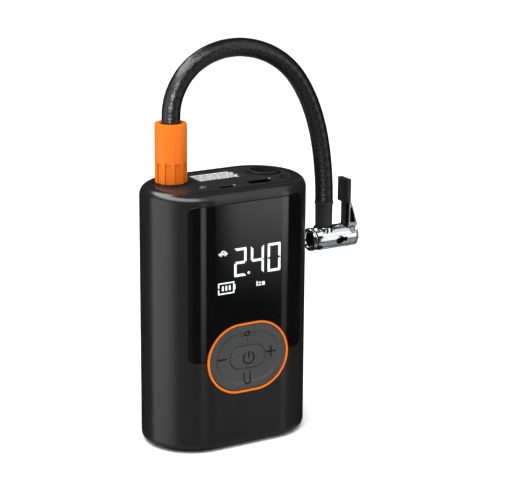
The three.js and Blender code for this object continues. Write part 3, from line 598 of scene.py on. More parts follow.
def braid_height(u, along):
    """How high the strands stand at a share u round the hose and a length along it, from 0 to 1."""
    around = u * BRAID_ENDS
    onward = along / BRAID_PITCH
    best = 0.0
    for first, second, shift in ((around + onward, around - onward, 0), (around - onward, around + onward, math.pi)):
        over = 0.5 + 0.5 * math.sin(math.pi * second + shift)
        best = max(best, abs(math.sin(math.pi * first)) * over)
    return best


def make_hose():
    line = hose_line()
    points, faces, map_points = [], [], []
    across = Vector((0, 1, 0))
    for ring, centre in enumerate(line):
        ahead = (line[min(ring + 1, len(line) - 1)] - line[max(ring - 1, 0)]).normalized()
        outward = across.cross(ahead)
        for side in range(HOSE_SIDES):
            u = side / HOSE_SIDES
            angle = 2 * math.pi * u
            radius = HOSE_DIAMETER / 2 - BRAID_RISE * (1 - braid_height(u, ring * HOSE_STEP))
            points.append(centre + radius * (outward * math.cos(angle) + across * math.sin(angle)))
    for ring in range(len(line) - 1):
        for side in range(HOSE_SIDES):
            after = (side + 1) % HOSE_SIDES
            low, high = ring * HOSE_SIDES, (ring + 1) * HOSE_SIDES
            faces.append((low + side, low + after, high + after, high + side))
            edge = (side + 1) / HOSE_SIDES
            u, v, next_v = side / HOSE_SIDES, ring * HOSE_STEP, (ring + 1) * HOSE_STEP
            map_points += [(u, v), (edge, v), (edge, next_v), (u, next_v)]
    last = (len(line) - 1) * HOSE_SIDES
    for cap in (range(HOSE_SIDES), range(last, last + HOSE_SIDES)):
        faces.append(tuple(cap))
        map_points += [(0, 0)] * HOSE_SIDES
    mesh = bpy.data.meshes.new("hose_cord")
    mesh.from_pydata(points, [], faces)
    layer = mesh.uv_layers.new(name="strands")
    for corner, place in zip(layer.data, map_points):
        corner.uv = place
    hose = bpy.data.objects.new("hose_cord", mesh)
    bpy.context.scene.collection.objects.link(hose)
    hold(hose)
    bpy.ops.object.mode_set(mode="EDIT")
    bpy.ops.mesh.select_all(action="SELECT")
    bpy.ops.mesh.normals_make_consistent(inside=False)
    let_go()
    return finish_piece(hose, "hose_set", braided_filament, ["hose"], smooth=60), line


hose_cord, hose_path = make_hose()

# ---- Housing ----

LENS_LOW, LENS_HIGH = span("display_lens", 2)
LENS_HALF = span("display_lens", 0)[1]
LENS_MIDDLE = (LENS_LOW + LENS_HIGH) / 2
LENS_CORNER = 4.5
LENS_THICKNESS = 1.2


def body_profile():
    return [
        *quarter(BODY_RADIUS - BASE_ROUND, BASE_ROUND, BASE_ROUND, -90, 0, 8),
        *quarter(BODY_RADIUS - SHOULDER, BODY_HEIGHT - SHOULDER, SHOULDER, 0, 90, 14),
    ]


def lens_cutter(grow, depth):
    """What lies inside the lens's outline and within a depth of the body's surface, at the front."""
    half_height = (LENS_HIGH - LENS_LOW) / 2 + grow
    outline = plaque("outline", LENS_HALF + grow, half_height, LENS_CORNER + grow, 2, BODY_RADIUS + 3, 10)
    facing_front(outline, (0, 0, LENS_MIDDLE))
    core = stadium("core", upright(BODY_RADIUS - depth, -2, BODY_HEIGHT + 2))
    return cut(outline, core)


def ring_cutter(grow):
    profile = upright(RING_RADIUS + grow, 5, BODY_RADIUS + 5)
    return facing_front(stadium("ring_hole", profile, PAD_REACH, 96), (0, 0, PAD_Z))


def base_screw_places():
    reach = CAP_RADIUS - 3.1
    side = reach * math.sqrt(0.5)
    return [(sx * (REACH + side), sy * side) for sx, sy in ((1, -1), (1, 1), (-1, 1), (-1, -1))]


def make_body_shell():
    shell = stadium("body_shell", body_profile())
    deck_low = DECK_TOP - DECK_THICKNESS
    cut(
        shell,
        stadium("cavity", upright(BODY_RADIUS - WALL, 6, 143.9)),
        stadium("deck_seat", upright(DECK_RADIUS + GAP, deck_low - GAP, BODY_HEIGHT + 2)),
        stadium("top_opening", upright(DECK_RADIUS - 1, 140, deck_low + 1)),
        stadium("cap_seat", upright(CAP_RADIUS + GAP, -2, CAP_THICKNESS + GAP)),
        stadium("base_opening", upright(CAP_RADIUS - 4.9, 1, 8)),
        lens_cutter(GAP, LENS_THICKNESS + GAP),
        ring_cutter(GAP),
    )
    merge_close(shell)
    soften(shell, 0.16, 2, 50)
    return finish_piece(shell, "housing", satin_shell, ["housing_sleeve"], smooth=35)


make_body_shell()


def make_front_cover():
    cover = lens_cutter(0, LENS_THICKNESS)
    form = stadium("form", body_profile())
    combine(cover, form, "INTERSECT")
    cut(cover, ring_cutter(GAP))
    merge_close(cover)
    soften(cover, 0.22, 3, 50)
    return finish_piece(cover, "housing", smoked_gloss, ["display_lens"], smooth=35)


make_front_cover()


def make_base_plate():
    plate = stadium("base_plate", eased(CAP_RADIUS, 0, CAP_THICKNESS, 0.5, 0.2))
    for x, y in base_screw_places():
        bore = turned("bore", [[2.6, -1], [2.6, 2.0], [1.5, 2.0], [1.5, 4]], 32)
        cut(plate, stood(bore, place=(x, y, 0)))
    soften(plate, 0.12)
    return finish_piece(plate, "housing", satin_shell, ["base_cap"])


make_base_plate()


def make_base_bolts():
    """A pan head with a cross recess, modelled once and copied to its four seats."""
    head = turned("bolt", [[1.9, 0.3], [2.2, 0.45], [2.3, 0.9], [2.3, 1.7], [1.2, 1.7], [1.2, 5.5]], 32)
    for low, high in (((-1.3, -0.28, -1), (1.3, 0.28, 1.1)), ((-0.28, -1.3, -1), (0.28, 1.3, 1.1))):
        cut(head, block("slot", low, high))
    soften(head, 0.05)
    for index, (x, y) in enumerate(base_screw_places()):
        bolt = head.copy()
        bolt.data = head.data.copy()
        bolt.name = f"base_bolt_{index + 1}"
        bpy.context.scene.collection.objects.link(bolt)
        stood(bolt, place=(x, y, 0))
        finish_piece(bolt, "housing", bright_steel, [f"base_screw_{index + 1}"])
    bpy.data.objects.remove(head)


make_base_bolts()

# ---- Deck and ports ----

USB_A = {"x": 15.2, "y": -13.9, "half_x": 6.95, "half_y": 3.05, "corner": 0.5, "lip": 0.6}
USB_C = {"x": -7.4, "y": -16.4, "half_x": 4.47, "half_y": 1.63, "corner": 1.5, "lip": 0.35}
LAMP_X, LAMP_Y, LAMP_RADIUS = -18.7, -10.6, 3.4
LIGHTS = {"charge_light": (-1.5, -15.0), "output_light": (23.7, -10.5)}
LIGHT_RADIUS = 0.75
PANEL_X, PANEL_Y = span("info_panel", 0), span("info_panel", 1)
VENT_LOW, VENT_HIGH, VENT_FROM, VENT_TO = 14.9, 18.1, -62, -24
SOCKET_BORE, SOCKET_OUTER, SOCKET_MOAT = 7.8, 8.8, 0.8


def vent_band(name, low, high, start, end, bottom, top, steps=24):
    """A slice of a ring about the right-hand end centre: one face, spun round and extruded."""
    piece = block(name, (low, -0.01, bottom), (high, 0.01, top))
    pick(piece, "FACE", lambda middle, normal: normal.y < -0.9)
    bpy.ops.mesh.delete(type="FACE")
    bpy.ops.mesh.select_all(action="SELECT")
    bpy.ops.mesh.delete(type="ONLY_FACE")
    bpy.ops.mesh.select_all(action="DESELECT")
    let_go()
    pick(piece, "VERT", lambda place: place.y > 0)
    bpy.ops.mesh.delete(type="VERT")
    bpy.ops.mesh.select_all(action="SELECT")
    bpy.ops.transform.translate(value=(0, 0.01, 0))
    bpy.ops.mesh.edge_face_add()
    bpy.ops.mesh.spin(steps=steps, angle=math.radians(end - start), center=(0, 0, 0), axis=(0, 0, -1))
    bpy.ops.mesh.select_all(action="SELECT")
    bpy.ops.mesh.remove_doubles(threshold=0.001)
    bpy.ops.mesh.normals_make_consistent(inside=False)
    let_go()
    return stood(piece, (0, 0, start), (REACH, 0, 0))


def make_deck():
    low, top = DECK_TOP - DECK_THICKNESS, DECK_TOP
    deck = stadium("deck_plate", eased(DECK_RADIUS, low, top, 0.1, 0.22))
    boss = turned("boss", [[8.2, top - 1], [8.2, top + 0.6], [8.0, top + 0.8]], 64)
    weld(deck, stood(boss, place=(PORT.x, PORT.y, 0)))
    cutters = [
        stood(turned("port", upright(6.5, low - 1, top + 3), 64), place=(PORT.x, PORT.y, 0)),
        stood(turned("moat", upright(SOCKET_OUTER + SOCKET_MOAT, low - 1, top + 3), 96), place=(SOCKET_X, PORT.y, 0)),
        stood(turned("lamp", upright(LAMP_RADIUS + GAP, low - 1, top + 3), 48), place=(LAMP_X, LAMP_Y, 0)),
    ]
    for port in (USB_A, USB_C):
        slot = plaque("slot", port["half_x"] + GAP, port["half_y"] + GAP, port["corner"] + GAP, low - 1, top + 3)
        cutters.append(stood(slot, place=(port["x"], port["y"], 0)))
    for x, y in LIGHTS.values():
        cutters.append(stood(turned("dot", upright(LIGHT_RADIUS + 0.15, low - 1, top + 3), 32), place=(x, y, 0)))
    half_x, half_y = (PANEL_X[1] - PANEL_X[0]) / 2 + GAP, (PANEL_Y[1] - PANEL_Y[0]) / 2 + GAP
    recess = plaque("recess", half_x, half_y, 0.8, top - 0.6, top + 3)
    middle = ((PANEL_X[0] + PANEL_X[1]) / 2, (PANEL_Y[0] + PANEL_Y[1]) / 2, 0)
    cutters.append(stood(recess, place=middle))
    cutters.append(vent_band(
        "vent", VENT_LOW - GAP, VENT_HIGH + GAP, VENT_FROM - 1, VENT_TO + 1, low - 1, top + 3,
    ))
    cut(deck, *cutters)
    merge_close(deck)
    soften(deck, 0.12, 2, 50)
    return finish_piece(deck, "housing", deck_grain, ["top_deck"], smooth=35)


make_deck()


def make_vent():
    """A curved grille: three rows of round holes between two rims."""
    bottom, top = DECK_TOP - 1.5, DECK_TOP
    grille = vent_band("vent_louvre", VENT_LOW, VENT_HIGH, VENT_FROM, VENT_TO, bottom, top)
    rows, columns = 3, 13
    for row in range(rows):
        radius = VENT_LOW + (row + 0.5) * (VENT_HIGH - VENT_LOW) / rows
        for column in range(columns):
            share = (column + 0.5 + 0.25 * (row % 2)) / (columns + 0.25)
            angle = math.radians(VENT_FROM + share * (VENT_TO - VENT_FROM))
            place = (REACH + radius * math.cos(angle), radius * math.sin(angle), 0)
            cut(grille, stood(turned("hole", upright(0.42, top - 1.1, top + 1), 12), place=place))
    return finish_piece(grille, "housing", deck_grain, ["vent_grille"])


make_vent()


def make_usb_shell(name, port, node_name):
    top = DECK_TOP - GAP
    low = top - 14
    shell = plaque(name, port["half_x"], port["half_y"], port["corner"], low, top)
    mouth_x, mouth_y = port["half_x"] - port["lip"], port["half_y"] - port["lip"]
    mouth = plaque("mouth", mouth_x, mouth_y, max(port["corner"] - port["lip"], 0.2), low + 2, top + 2)
    cut(shell, mouth)
    soften(shell, 0.08)
    stood(shell, place=(port["x"], port["y"], 0))
    # Painted shade: the shell is dark steel rather than bright, so that the port reads as dark as the shade inside it.
    return finish_piece(shell, "housing", dark_steel_and_port_shade, [node_name])


def make_tongue(name, port, offset, half_y):
    top = DECK_TOP - GAP - 1.2
    half_x = (port["half_x"] - port["lip"]) * 0.85
    tongue = plaque(name, half_x, half_y, 0.3, top - 11, top, 3)
    soften(tongue, 0.1)
    stood(tongue, place=(port["x"], port["y"] + offset, 0))
    return finish_piece(tongue, "housing", dark_moulding)


make_usb_shell("usb_a_shell", USB_A, "usb_a_port")
make_usb_shell("usb_c_shell", USB_C, "usb_c_port")
make_tongue("usb_a_tongue", USB_A, 1.2, 0.7)
make_tongue("usb_c_tongue", USB_C, 0, 0.35)


def make_socket_liner():
    """A deep cup with a rolled rim that stands above the deck inside its moat."""
    top = span("socket_cup", 2)[1]
    low = span("socket_cup", 2)[0]
    floor = low + 2
    liner = turned("socket_liner", [
        [SOCKET_OUTER, low], [SOCKET_OUTER, top - 0.45], [SOCKET_OUTER - 0.15, top - 0.15],
        [SOCKET_OUTER - 0.4, top], [SOCKET_BORE + 0.3, top], [SOCKET_BORE + 0.08, top - 0.1],
        [SOCKET_BORE, top - 0.35], [SOCKET_BORE, floor],
    ], 96)
    stood(liner, place=(SOCKET_X, PORT.y, 0))
    return finish_piece(liner, "housing", deck_grain, ["socket_cup"])


make_socket_liner()


def make_lamp():
    rim = turned("lamp_rim", [
        [3.4, 147], [3.4, 149.5], [3.25, 149.7], [2.75, 149.6], [2.55, 149.2], [2.55, 147], [3.4, 147],
    ], 64)
    stood(rim, place=(LAMP_X, LAMP_Y, 0))
    finish_piece(rim, "housing", dark_moulding)
    dome = turned("lamp_dome", [
        [2.5, 146.8], [2.5, 149.3], *[
            [2.4 * math.cos(math.radians(angle)), 149.5 + 1.1 * math.sin(math.radians(angle))]
            for angle in range(0, 90, 10)
        ],
    ], 48)
    stood(dome, place=(LAMP_X, LAMP_Y, 0))
    finish_piece(dome, "housing", lamp_guide, ["lamp_lens"])


make_lamp()


def make_light_dots():
    for name, (x, y) in LIGHTS.items():
        low = span(name, 2)[0]
        dot = turned(f"{name}_dot", eased(LIGHT_RADIUS, low, DECK_TOP + 0.2, 0.1, 0.3, 4), 32)
        stood(dot, place=(x, y, 0))
        finish_piece(dot, "housing", light_guide, [name])


make_light_dots()


def make_panel():
    """A recessed plate whose print is plain bars: no words."""
    low, high = span("info_panel", 2)
    half_x, half_y = (PANEL_X[1] - PANEL_X[0]) / 2, (PANEL_Y[1] - PANEL_Y[0]) / 2
    middle_x, middle_y = (PANEL_X[0] + PANEL_X[1]) / 2, (PANEL_Y[0] + PANEL_Y[1]) / 2
    plate = plaque("panel_plate", half_x, half_y, 0.6, low, high, 4)
    soften(plate, 0.06)
    stood(plate, place=(middle_x, middle_y, 0))
    finish_piece(plate, "housing", panel_base, ["info_panel"])
    bars = [block("bar", (-14, 12.4, high), (10.5, 13.9, high + 0.03))]
    rows = 6
    widths = (1.9, 1.1, 2.6, 0.8, 1.5, 2.1)
    for row in range(rows):
        y = 11.2 - row * 1.8
        x, index = -14.0, row
        while x < 13.4 - row * 0.4 - 1.9:
            width = widths[index % len(widths)]
            bars.append(block("bar", (x, y - 1.15, high), (x + width, y, high + 0.03)))
            x += width + 0.55
            index += 1 + row % 2
    finish_piece(joined("panel_bars", bars), "housing", panel_print)


make_panel()

# ---- Display marks ----

MARK_FRONT = FRONT - 0.05
MARK_BACK = FRONT + 0.02


def flat_bar(low_x, high_x, low_z, high_z, front=MARK_FRONT, back=MARK_BACK):
    return block("mark", (low_x, front, low_z), (high_x, back, high_z))


def trim_corner(bar, along, across, end, inner, amount):
    """Moves one corner of a bar in along its length: the end and the inner side are told by their signs."""
    middle = bar.data.vertices[0].co * 0
    for point in bar.data.vertices:
        middle += point.co / len(bar.data.vertices)
    pick(bar, "VERT", lambda place: (
        (place[along] - middle[along]) * end > 0 and (place[across] - middle[across]) * inner > 0
    ))
    shift = [0, 0, 0]
    shift[along] = -end * amount
    bpy.ops.transform.translate(value=shift)
    let_go()


def segment(low_x, high_x, low_z, high_z, inner, low_trim, high_trim):
    """A display segment: a bar whose side towards the digit's middle is shorter, so that its ends are mitred."""
    bar = flat_bar(low_x, high_x, low_z, high_z)
    along, across = (0, 2) if high_x - low_x > high_z - low_z else (2, 0)
    trim_corner(bar, along, across, -1, inner, low_trim)
    trim_corner(bar, along, across, 1, inner, high_trim)
    return bar


def digit(lit, left, right, low, middle, high, stroke=1.5):
    """A seven-segment digit, as the names of its lit segments."""
    cleft, mitre, tip = 0.2, 0.9 * stroke, 0.4 * stroke
    segments = {
        "top": (left + cleft, right - cleft, high - stroke, high, -1, mitre, mitre),
        "bottom": (left + cleft, right - cleft, low, low + stroke, 1, mitre, mitre),
        "upper_left": (left, left + stroke, middle + cleft, high - cleft, 1, tip, mitre),
        "upper_right": (right - stroke, right, middle + cleft, high - cleft, -1, tip, mitre),
        "lower_left": (left, left + stroke, low + cleft, middle - cleft, 1, mitre, tip),
        "lower_right": (right - stroke, right, low + cleft, middle - cleft, -1, mitre, tip),
    }
    made = [segment(*segments[name]) for name in lit if name != "centre"]
    if "centre" in lit:
        half = stroke * 0.48
        made.append(flat_bar(left + stroke * 0.6, right - stroke * 0.6, middle - half, middle + half))
    return made


def make_digits():
    low, middle, high = 101.2, 109.2, 117.6
    two = digit(("top", "upper_right", "centre", "lower_left", "bottom"), -9.5, -1.7, low, middle, high)
    four = digit(("upper_left", "upper_right", "centre", "lower_right"), 1.1, 9.5, low, middle, high)
    nought = digit(
        ("top", "upper_left", "upper_right", "lower_left", "lower_right", "bottom"),
        11.9, 20.3, low, middle, high,
    )
    point = turned("mark", [[0.8, -FRONT - 0.02], [0.8, -FRONT + 0.05]], 24)
    facing_front(point, (-0.2, 0, 102.6))
    digits = joined("display_digits", [*two, *four, *nought, point])
    finish_piece(digits, "housing", lit_segment)


make_digits()


def disc(x, z, radius, hole=None, sides=32):
    low, high = -FRONT - 0.02, -FRONT + 0.05
    if hole:
        profile = [[hole, low], [radius, low], [radius, high], [hole, high], [hole, low]]
    else:
        profile = [[radius, low], [radius, high]]
    return facing_front(turned("mark", profile, sides), (x, 0, z))


def arc(x, z, radius, stroke, start, end, back, front=FRONT - 3, steps=24):
    """A curved stroke in the front plane: a small face spun about an axis along Y, angles from +X towards +Z."""
    clear_hands()
    bpy.ops.mesh.primitive_plane_add(size=1, location=(radius, 0, 0))
    piece = bpy.context.object
    piece.scale = (stroke, back - front, 1)
    fix_place(piece)
    bpy.ops.object.mode_set(mode="EDIT")
    bpy.ops.mesh.select_all(action="SELECT")
    bpy.ops.mesh.spin(steps=steps, angle=math.radians(end - start), center=(0, 0, 0), axis=(0, 1, 0))
    bpy.ops.mesh.select_all(action="SELECT")
    bpy.ops.mesh.remove_doubles(threshold=0.001)
    bpy.ops.mesh.normals_make_consistent(inside=False)
    let_go()
    return stood(piece, (0, -start, 0), (x, (front + back) / 2, z))


def make_icons():
    """A car, a battery and a small plain mark below the digits."""
    roof = arc(-16.4, 115.5, 1.55, 0.6, 0, 180, MARK_BACK, FRONT - 0.05)
    hull = flat_bar(-19.3, -13.8, 114.9, 116.0)
    for x in (-17.9, -15.1):
        cut(hull, facing_front(turned("arch", upright(0.85, 28, 30), 24), (x, 0, 114.9)))
    icons = [roof, hull, disc(-17.9, 114.8, 0.6, 0.22), disc(-15.1, 114.8, 0.6, 0.22)]
    case = flat_bar(-19.7, -9.4, 92.3, 99.0)
    cut(case, flat_bar(-18.95, -10.15, 93.05, 98.25, FRONT - 1, FRONT + 1))
    cut(case, flat_bar(-20, -18.8, 95.2, 96.1, FRONT - 1, FRONT + 1))
    icons += [case, flat_bar(-9.4, -8.7, 94.3, 97.0)]
    icons += [flat_bar(x - 0.55, x + 0.55, 94.3, 97.1) for x in (-16.7, -14.5, -12.3)]
    unit = [(4.8, 5.5, 94.1, 96.9), (6.1, 7.9, 94.1, 94.8), (6.1, 7.9, 95.5, 96.2), (8.5, 10.2, 94.1, 96.2)]
    icons += [flat_bar(*mark) for mark in unit]
    finish_piece(joined("display_icons", icons), "housing", lit_segment)


make_icons()

# ---- Control pad ----

RING_BAND = 1.3
PAD_RADIUS = RING_RADIUS - RING_BAND - GAP - 0.05
KEY_RADIUS, KEY_REACH = 6.5, 4.7
PAD_FACE = -FRONT - 0.2  # heights here run towards the viewer from the middle of the body


def make_pad_trim():
    low, high = 25.1, -FRONT
    trim = stadium("pad_trim", [
        [RING_RADIUS, low], [RING_RADIUS, high - 0.35], [RING_RADIUS - 0.12, high - 0.1],
        [RING_RADIUS - 0.4, high], [RING_RADIUS - RING_BAND + 0.4, high],
        [RING_RADIUS - RING_BAND + 0.1, high - 0.1], [RING_RADIUS - RING_BAND, high - 0.35],
        [RING_RADIUS - RING_BAND, low], [RING_RADIUS, low],
    ], PAD_REACH, 128)
    facing_front(trim, (0, 0, PAD_Z))
    return finish_piece(trim, "housing", orange_moulding, ["button_ring"])


make_pad_trim()


def etching(shapes):
    """A cutter for marks that are sunk into a face, with a black floor."""
    cutter = joined("etching", shapes)
    cutter.data.materials.append(etched_black)
    return cutter


ETCH_FLOOR = FRONT + 0.2 + 0.9 + 0.35  # y of the floor of a mark sunk into the dish


def bar_mark(low_x, high_x, low_z, high_z, floor=ETCH_FLOOR):
    return flat_bar(low_x, high_x, low_z, high_z, FRONT - 3, floor)


def make_pad_plate():
    """A soft plate with a broad rim, a dished floor, four etched marks and a hole for the power key."""
    back, dish = 25.6, 0.9
    rim = PAD_RADIUS - 3.4
    slope = 1.9
    steps = 10
    profile = [[PAD_RADIUS, back], *quarter(PAD_RADIUS - 0.5, PAD_FACE - 0.5, 0.5, 0, 90, 4)]
    for step in range(steps + 1):
        share = step / steps
        fall = dish * (3 * share**2 - 2 * share**3)
        profile.append([rim - slope * share, PAD_FACE - fall])
    profile.append([KEY_RADIUS + 1.5, PAD_FACE - dish + 0.05])
    plate = stadium("pad_plate", profile, PAD_REACH, 128)
    hole = stadium("key_hole", upright(KEY_RADIUS + 0.3, back - 2, 32), KEY_REACH, 64)
    cut(plate, hole)
    merge_close(plate, 0.01)
    facing_front(plate, (0, 0, PAD_Z))
    plate.data.materials.clear()
    plate.data.materials.append(touch_pad)
    floor = ETCH_FLOOR
    marks = [
        bar_mark(-19.4, -13.6, 53.25, 54.25),
        bar_mark(11.9, 18.5, 53.3, 54.3),
        bar_mark(14.7, 15.7, 50.6, 57.0),
    ]
    for mark in marks:
        cut(plate, etching([mark]))
    for x in (-2.3, 1.7):
        cut(plate, etching([bar_mark(x - 0.4, x + 0.4, 39.3, 44.2)]))
    cut(plate, etching([arc(-0.3, 39.4, 2.0, 0.8, 180, 360, floor)]))
    lamp_mark = turned("lamp_mark", [[1.1, -floor], [1.8, -floor], [1.8, 32], [1.1, 32], [1.1, -floor]], 32)
    cut(plate, etching([facing_front(lamp_mark, (-0.4, 0, 66.8))]))
    for angle in (205, 270, 335):
        x = -0.4 + 3.6 * math.cos(math.radians(angle))
        z = 66.8 + 3.6 * math.sin(math.radians(angle))
        cut(plate, etching([bar_mark(x - 0.4, x + 0.4, z - 0.4, z + 0.4)]))
    return finish_piece(plate, "direction_pad", touch_pad, ["direction_pad"], smooth=30)


def make_power_button():
    low, high = span("power_key", 1)
    front = -low
    button = stadium("power_button", [
        [KEY_RADIUS + 1.1, -high], [KEY_RADIUS + 1.1, -high + 0.6], [KEY_RADIUS, -high + 0.6],
        *quarter(KEY_RADIUS - 0.7, front - 0.9, 0.7, 0, 70, 5),
        [KEY_RADIUS - 2.0, front - 0.14], [KEY_RADIUS - 4.0, front - 0.05],
    ], KEY_REACH, 96)
    facing_front(button, (0, 0, PAD_Z))
    button.data.materials.append(touch_pad)
    floor = FRONT + 0.65
    cut(button, etching([bar_mark(-0.25, 0.65, 52.6, 56.6, floor)]))
    cut(button, etching([arc(0.2, 52.6, 3.4, 0.85, 125, 415, floor)]))
    return finish_piece(button, "power_key", touch_pad, ["power_key"], smooth=30)


make_pad_plate()
make_power_button()

# ---- Hose nut ----

NUT_RADIUS = 9
NUT_RECESSES = 10
NUT_PHASE = 0.425
NUT_RECESS_HEIGHT = 11.5


def make_nut():
    low, high = span("hose_nut", 2)
    sleeve = HOSE_DIAMETER / 2 + 0.45
    bore = 6.3
    shelf = PORT.z + HOSE_ROUTE[0][1] + GAP
    nut = turned("nut_sleeve", [
        [bore, low], [NUT_RADIUS - 0.35, low], [NUT_RADIUS - 0.1, low + 0.1], [NUT_RADIUS, low + 0.35],
        [NUT_RADIUS, high - 0.6], [NUT_RADIUS - 0.18, high - 0.18], [NUT_RADIUS - 0.6, high],
        [sleeve + 1.1, high], [sleeve + 0.7, high - 0.12], [sleeve + 0.2, high - 0.8], [sleeve, high - 1.6],
        [sleeve, shelf], [bore, shelf], [bore, low],
    ], 120)
    stood(nut, place=(PORT.x, PORT.y, 0))
    pitch = 360 / NUT_RECESSES
    floor = NUT_RADIUS - 1.0
    half_width = floor * math.tan(math.radians(pitch / 3.2))
    for index in range(NUT_RECESSES):
        recess = block("recess", (floor, -half_width, low - 1), (NUT_RADIUS + 2, half_width, low + NUT_RECESS_HEIGHT))
        stood(recess, (0, 0, (index + NUT_PHASE) * pitch), (PORT.x, PORT.y, 0))
        cut(nut, recess)
    merge_close(nut, 0.01)
    soften(nut, 0.14, 2, 40)
    return finish_piece(nut, "hose_nut", orange_moulding, ["hose_nut"], smooth=35)


make_nut()


def make_port_stub():
    """The threaded stub that the nut screws onto: rounded threads between a plain foot and a bevelled tip."""
    low, high = span("port_fitting", 2)
    foot = DECK_TOP + 1.2
    pitch = 1.5
    profile = [[2.0, low], [7.5, low], [7.5, DECK_TOP - 5.8], [5.3, DECK_TOP - 5.8], [5.3, foot]]
    height = foot
    while height + pitch < high - 0.6:
        profile += [[5.3, height + 0.2], [5.85, height + 0.6], [5.85, height + 0.8], [5.3, height + 1.2]]
        height += pitch
    profile += [[5.3, high - 0.4], [4.9, high], [2.0, high], [2.0, low]]
    stub = turned("port_stub", profile, 64)
    stood(stub, place=(PORT.x, PORT.y, 0))
    return finish_piece(stub, "housing", cast_metal, ["port_fitting"])


make_port_stub()

# ---- Valve chuck ----

CHUCK_RADIUS = 7
FERRULE_LOW, FERRULE_HIGH = span("hose_ferrule", 2)
BARREL_LOW, BARREL_HIGH = (place - CHUCK.x for place in span("chuck_barrel", 0))
PIVOT_X, PIVOT_Z = 17, 4
LEVER_HALF = 4.4


def make_hose_collar():
    low, high = FERRULE_LOW, FERRULE_HIGH
    collar = turned("hose_collar", [
        [2.9, low], [4.8, low], [5.0, low + 0.2], [5.12, high - 2.3], [5.2, high - 2.15], [5.42, high - 1.9],
        [5.5, high - 1.6], [5.5, high - 0.35], [5.4, high - 0.1], [5.1, high], [2.9, high], [2.9, low],
    ], 80)
    stood(collar, place=(CHUCK.x, CHUCK.y, 0))
    return finish_piece(collar, "hose_set", collar_rubber, ["hose_ferrule"], smooth=40)


def make_chuck_shell():
    low, high = BARREL_LOW, BARREL_HIGH
    shell = turned("chuck_shell", [
        [5.2, low], [CHUCK_RADIUS - 0.9, low], [CHUCK_RADIUS - 0.65, low + 0.2],
        [CHUCK_RADIUS - 0.05, low + 2.1], [CHUCK_RADIUS, low + 2.3],
        [CHUCK_RADIUS, high - 2.1], [CHUCK_RADIUS - 0.35, high - 1.9], [CHUCK_RADIUS - 0.35, high - 1.4],
        [CHUCK_RADIUS, high - 1.2], *quarter(CHUCK_RADIUS - 0.8, high - 0.8, 0.8, 0, 90, 5),
        [1.0, high], [1.0, high - 2], [5.2, high - 2], [5.2, low],
    ], 128)
    along_x(shell)
    saddle = turned("saddle", [
        [5.95, 0], [5.95, 5.8], [5.85, 6.6], [5.6, 7.05], [5.2, 7.2],
    ], 96)
    stood(saddle, place=CHUCK)
    weld(shell, saddle)
    cut(shell, along_x(turned("bore", upright(5.2, low - 1, 14.7), 64)))
    cut(shell, stood(turned("stem_hole", upright(2.9, 0, 9), 48), place=CHUCK))
    slot_front = PIVOT_X - 3.9
    lever_slot = block("slot", (slot_front, -LEVER_HALF - 0.35, -1.6), (high + 1, LEVER_HALF + 0.35, 9))
    cut(shell, stood(lever_slot, place=CHUCK))
    round_hole = stood(turned("keyhole", upright(2.6, 2, 9), 48), (90, 0, 0), (7.4, 0, -0.7))
    tail_hole = block("keyhole", (7.6, -9, -1.8), (12.4, -2, 0.6))
    for hole in (round_hole, tail_hole):
        cut(shell, stood(hole, place=CHUCK))
    pin_hole = stood(turned("pin_hole", upright(1.8, -9, 9), 32), (90, 0, 0), (PIVOT_X, 0, PIVOT_Z))
    cut(shell, stood(pin_hole, place=CHUCK))
    merge_close(shell, 0.01)
    soften(shell, 0.16, 3, 45)
    return finish_piece(shell, "hose_set", chrome_plate, ["chuck_barrel"], smooth=35)


def make_chuck_lip():
    low, high = (place - CHUCK.x for place in span("chuck_nose", 0))
    lip = turned("chuck_lip", [
        [4.4, low + 0.3], [4.6, low + 0.06], [4.8, low], [CHUCK_RADIUS - 0.75, low], [CHUCK_RADIUS - 0.35, low + 0.15],
        [CHUCK_RADIUS - 0.12, low + 0.5], [CHUCK_RADIUS - 0.1, high - 0.15], [CHUCK_RADIUS - 0.3, high],
        [4.4, high], [4.4, low + 0.3],
    ], 128)
    along_x(lip)
    return finish_piece(lip, "hose_set", chrome_plate, ["chuck_nose"], smooth=40)


def make_chuck_gasket():
    low, high = (place - CHUCK.x for place in span("nose_seal", 0))
    gasket = turned("chuck_gasket", [
        [3.8, low], [CHUCK_RADIUS - 0.6, low], [CHUCK_RADIUS - 0.4, low + 0.15], [CHUCK_RADIUS - 0.4, low + 0.65],
        [CHUCK_RADIUS - 0.6, low + 0.8], [4.9, low + 0.8], [4.9, high], [3.8, high], [3.8, low],
    ], 96)
    along_x(gasket)
    return finish_piece(gasket, "hose_set", silicone, ["nose_seal"])


def make_chuck_core():
    low, high = (place - CHUCK.x for place in span("chuck_plunger", 0))
    core = turned("chuck_core", [[4.6, low + 1.8], [4.8, low + 2.0], [4.8, high - 0.2], [4.6, high]], 64)
    along_x(core)
    finish_piece(core, "chuck_plunger", dark_steel_and_port_shade, ["chuck_plunger"])
    pin = turned("chuck_pin", [[0.35, low], [0.75, low + 0.1], [1.1, low + 0.5], [1.1, low + 2.2]], 32)
    along_x(pin)
    finish_piece(pin, "chuck_plunger", bright_steel)
    return core


def along_y(name, profile, x, z, sides=64):
    piece = turned(name, profile, sides)
    return stood(piece, (90, 0, 0), CHUCK + Vector((x, 0, z)))


